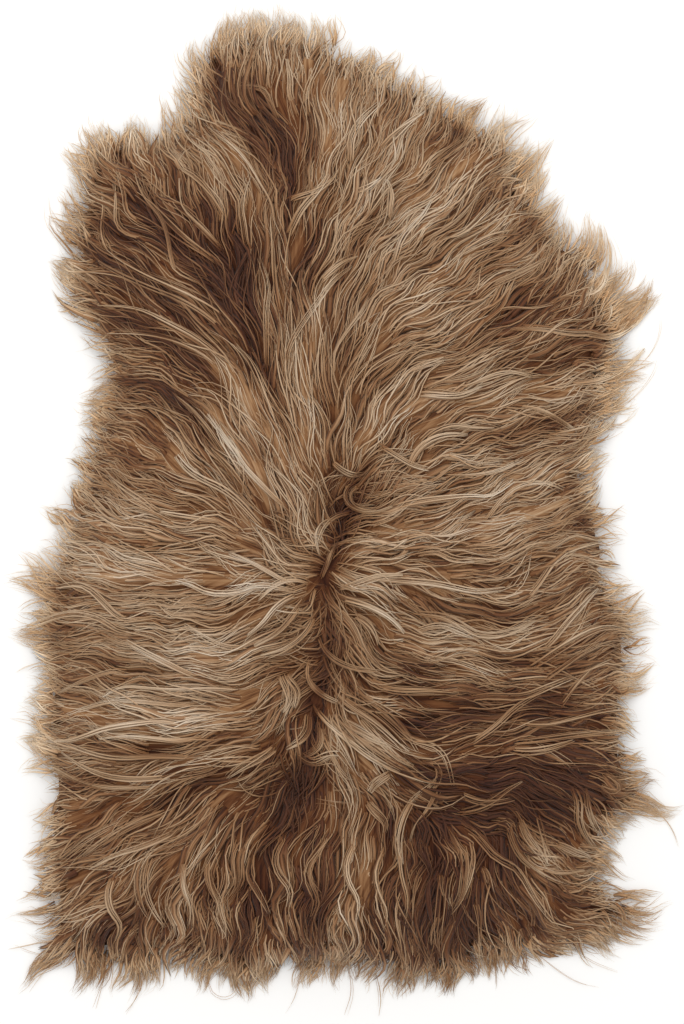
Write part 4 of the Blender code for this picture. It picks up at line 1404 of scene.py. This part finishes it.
# the felted base of the wool, and the skin under it
base = {
    "pitch": 0.005,
    "inset": 0.016,
    "height": 0.93,  # share of the pile's height
    "fuller": 0.02,  # and what the fuller places have more
    "ridges": 0.0014,  # rise of the light bands
    "underside": 0.0026,
    "thinnest": 0.001,
    "rimSlope": 0.02,  # it rises from its own edge over this length
    "tone": 0.22,
    "shadeTone": 0.08,
    "bandTone": 0.09,
}
skin = {
    "pitch": 0.008,
    "inset": 0.036,
    "thickness": 0.0024,
}


def cutSheet(pitch, inset):
    # a flat grid, a little larger than the rug, cut along the skin's outline
    sheet = bmesh.new()
    across, down = int((rugWidth + 0.045) / pitch), int((rugLength + 0.05) / pitch)
    bmesh.ops.create_grid(sheet, x_segments=across, y_segments=down, size=0.5)
    bmesh.ops.scale(sheet, vec=(across * pitch, down * pitch, 1), verts=sheet.verts)
    xs = np.array([v.co.x for v in sheet.verts])
    ys = np.array([v.co.y for v in sheet.verts])
    depth = sampled(edge, xs, ys)
    gone = [v for v, d in zip(list(sheet.verts), depth) if d < inset]
    bmesh.ops.delete(sheet, geom=gone, context="VERTS")
    loose = [v for v in sheet.verts if not v.link_faces]
    bmesh.ops.delete(sheet, geom=loose, context="VERTS")
    rim = [v for v in sheet.verts if v.is_boundary]
    for v in rim:  # the stepped cut is drawn onto the smooth outline
        for _ in range(3):
            x, y = np.array([v.co.x]), np.array([v.co.y])
            slope = Vector((sampled(edgeSlopeX, x, y)[0], sampled(edgeSlopeY, x, y)[0], 0))
            if slope.length > 0.2:
                v.co += slope.normalized() * min(max(inset - sampled(edge, x, y)[0], -pitch), pitch)
    bmesh.ops.smooth_vert(sheet, verts=rim, factor=0.4, use_axis_x=True, use_axis_y=True)
    return sheet


def thickened(sheet, thickness):
    # the sheet pulled down to a closed slab
    made = bmesh.ops.extrude_face_region(sheet, geom=list(sheet.faces))
    moved = [g for g in made["geom"] if isinstance(g, bmesh.types.BMVert)]
    bmesh.ops.translate(sheet, vec=(0, 0, thickness), verts=moved)
    bmesh.ops.recalc_face_normals(sheet, faces=sheet.faces)
    return moved


def sheetObject(name, sheet, material):
    mesh = bpy.data.meshes.new(name)
    sheet.to_mesh(mesh)
    sheet.free()
    return toObject(name, mesh, material)


def feltedWool(look):
    # the close wool between the locks: soft and dull, its fibres combed the way the
    # wool lies there. Each way has its own streaks, and the nearest two are blended.
    # They are 4.6 mm wide, far coarser than fibres, to show between the locks
    material, tree, shader = newMaterial("combedRootWool", look["surface"])
    place = addNode(tree, "TexCoord").outputs["Object"]
    fibres = None
    for k in range(look["ways"]):
        lie = {
            "vector_type": "TEXTURE",
            "Location": (0.13 * k, 0.07 * k, 0),
            "Rotation": (0, 0, math.pi * k / look["ways"]),
            "Scale": (look["streakLength"], look["streakWidth"], 1),
        }
        drawn = addNode(tree, "Mapping", lie, {"Vector": place}).outputs["Vector"]
        streaks = addNode(
            tree, "TexNoise", {"Scale": 1.0, "Detail": 4.0, "Roughness": 0.7}, {"Vector": drawn}
        ).outputs["Fac"]
        share = addNode(tree, "Attribute", {"attribute_name": f"lie{k}"}).outputs["Fac"]
        streaks = addNode(tree, "Math", {"operation": "MULTIPLY"}, {0: streaks, 1: share}).outputs[0]
        if fibres:
            streaks = addNode(tree, "Math", {"operation": "ADD"}, {0: fibres, 1: streaks}).outputs[0]
        fibres = streaks
    streak = addNode(tree, "ValToRGB", links={"Fac": fibres}, stops=look["streaks"]).outputs["Color"]
    painted(tree, shader, [woolColour(tree, look), streak], look["relief"], fibres)
    return material


def sueded(look):
    # the flesh side of a tanned skin: matt, cream, a little mottled, with a fine nap
    material, tree, shader = newMaterial("tannedSkinSuede", look["surface"])
    place = addNode(tree, "TexCoord").outputs["Object"]
    mottle, nap = (
        addNode(
            tree, "TexNoise", {"Scale": look[key], "Detail": detail, "Roughness": rough}, {"Vector": place}
        ).outputs["Fac"]
        for key, detail, rough in (("mottle", 4.0, 0.6), ("nap", 3.0, 0.7))
    )
    colour = addNode(tree, "ValToRGB", links={"Fac": mottle}, stops=look["colours"]).outputs["Color"]
    painted(tree, shader, [colour], look["relief"], nap)
    return material


feltedLook = dict(
    woolLook,
    ways=8,
    streakWidth=0.0046,
    streakLength=0.110,
    streaks=[(0.36, "#66462F"), (0.46, "#AE937B"), (0.55, "#E2D4C6"), (0.66, "#FFFFFF")],
    surface={"Roughness": 0.8, "Specular IOR Level": 0.2},
    relief={"Strength": 0.7, "Distance": 0.0015},
)
suedeLook = {
    "mottle": 22.0,  # patches about 45 mm across
    "nap": 900.0,  # nap about 1 mm, coarser than the real one, so that it shows
    "colours": [(0.3, "#C3AA85"), (0.5, "#D2BC98"), (0.72, "#DDCBAB")],
    "surface": {"Roughness": 0.85, "Specular IOR Level": 0.3},
    "relief": {"Strength": 0.5, "Distance": 0.0006},
}

sheet = cutSheet(base["pitch"], base["inset"])
for v in sheet.verts:
    v.co.z = base["underside"]
under = list(sheet.faces)
top = thickened(sheet, base["thinnest"])
xs, ys = np.array([v.co.x for v in top]), np.array([v.co.y for v in top])
fuller = base["height"] + base["fuller"] * np.clip(sampled(shadeMap, xs, ys), -1, 1)
lifted = sampled(pileMap, xs, ys) * fuller + base["ridges"] * sampled(bandMap, xs, ys)
lifted *= smoothStep((sampled(edge, xs, ys) - base["inset"]) / base["rimSlope"] + 0.25)
for v, z in zip(top, lifted):
    v.co.z = max(base["underside"] + base["thinnest"], z)
for face in sheet.faces:
    face.smooth = True
bmesh.ops.dissolve_faces(sheet, faces=[f for f in under if f.is_valid])
feltedBase = sheetObject("feltedBase", sheet, feltedWool(feltedLook))
places = np.array([v.co[:2] for v in feltedBase.data.vertices])
depths = sampled(edge, *places.T)
lie = np.arctan2(sampled(flowY, *places.T), sampled(flowX, *places.T))
shade, band = sampled(shadeMap, *places.T), sampled(bandMap, *places.T)
# its tone takes the painted shade and light of its place, as the wool over it does
facts = {
    "tone": base["tone"] + base["shadeTone"] * shade + sampled(toneMap, *places.T) + base["bandTone"] * band,
    "rim": np.clip(smoothStep(1 - depths / lockBody["rimBand"]) * sampled(rimLightMap, *places.T), 0, 1),
}
for k in range(feltedLook["ways"]):
    apart = (lie - np.pi * k / feltedLook["ways"] + np.pi / 2) % np.pi - np.pi / 2
    facts[f"lie{k}"] = np.clip(1 - np.abs(apart) * feltedLook["ways"] / np.pi, 0, 1)
for key, values in facts.items():
    feltedBase.data.attributes.new(key, "FLOAT", "POINT").data.foreach_set("value", values)

sheet = cutSheet(skin["pitch"], skin["inset"])
bmesh.ops.dissolve_limit(sheet, angle_limit=0.02, verts=sheet.verts, edges=sheet.edges)
skinArea = sum(f.calc_area() for f in sheet.faces)
thickened(sheet, skin["thickness"])
skinPiece = sheetObject("tannedSkin", sheet, sueded(suedeLook))

for piece in woolPieces + [feltedBase]:
    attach(piece, "root")
    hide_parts("sheepskin")
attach(skinPiece, "root")

# a plain white floor under a broad soft light, seen from straight above
studio = {
    "floor": "#F4F3F1",
    "floorSize": 4.0,
    "floorDepth": 0.001,  # just under the rug, so that the two don't flicker
    "world": 0.82,
    "lampPower": 40.0,
    "lampSize": 2.4,
    "lampPlace": (-0.3, 0.9, 2.6),
    "cameraPlace": (0.001, 0.0015, 3.2),
    "view": 1.024,  # metres of floor from top to bottom of the picture
}

floorSheet = bmesh.new()
bmesh.ops.create_grid(floorSheet, x_segments=1, y_segments=1, size=studio["floorSize"])
bmesh.ops.translate(floorSheet, vec=(0, 0, -studio["floorDepth"]), verts=floorSheet.verts)
# matt paint on a studio floor, with no gloss to see
floorPaint = {"Base Color": toLinear(studio["floor"]), "Roughness": 0.9}
floor = sheetObject("floor", floorSheet, newMaterial("paintedStudioFloor", floorPaint)[0])

bpy.context.scene.view_settings.view_transform = "Standard"
world = bpy.data.worlds.new("studioWorld")
bpy.context.scene.world = world
world.use_nodes = True
world.node_tree.nodes["Background"].inputs["Color"].default_value = (1, 1, 1, 1)
world.node_tree.nodes["Background"].inputs["Strength"].default_value = studio["world"]

lampData = bpy.data.lights.new("overheadSoftbox", "AREA")
lampData.size = studio["lampSize"]
lampData.energy = studio["lampPower"]
lamp = bpy.data.objects.new("overheadSoftbox", lampData)
lamp.location = studio["lampPlace"]
lamp.rotation_euler = (Vector((0, 0, 0)) - lamp.location).to_track_quat("-Z", "Y").to_euler()
bpy.context.scene.collection.objects.link(lamp)

cameraData = bpy.data.cameras.new("camera")
cameraData.lens = 36 * studio["cameraPlace"][2] / studio["view"]
cameraData.clip_start, cameraData.clip_end = 0.1, 20
camera = bpy.data.objects.new("camera", cameraData)
camera.location = studio["cameraPlace"]
bpy.context.scene.collection.objects.link(camera)
bpy.context.scene.camera = camera
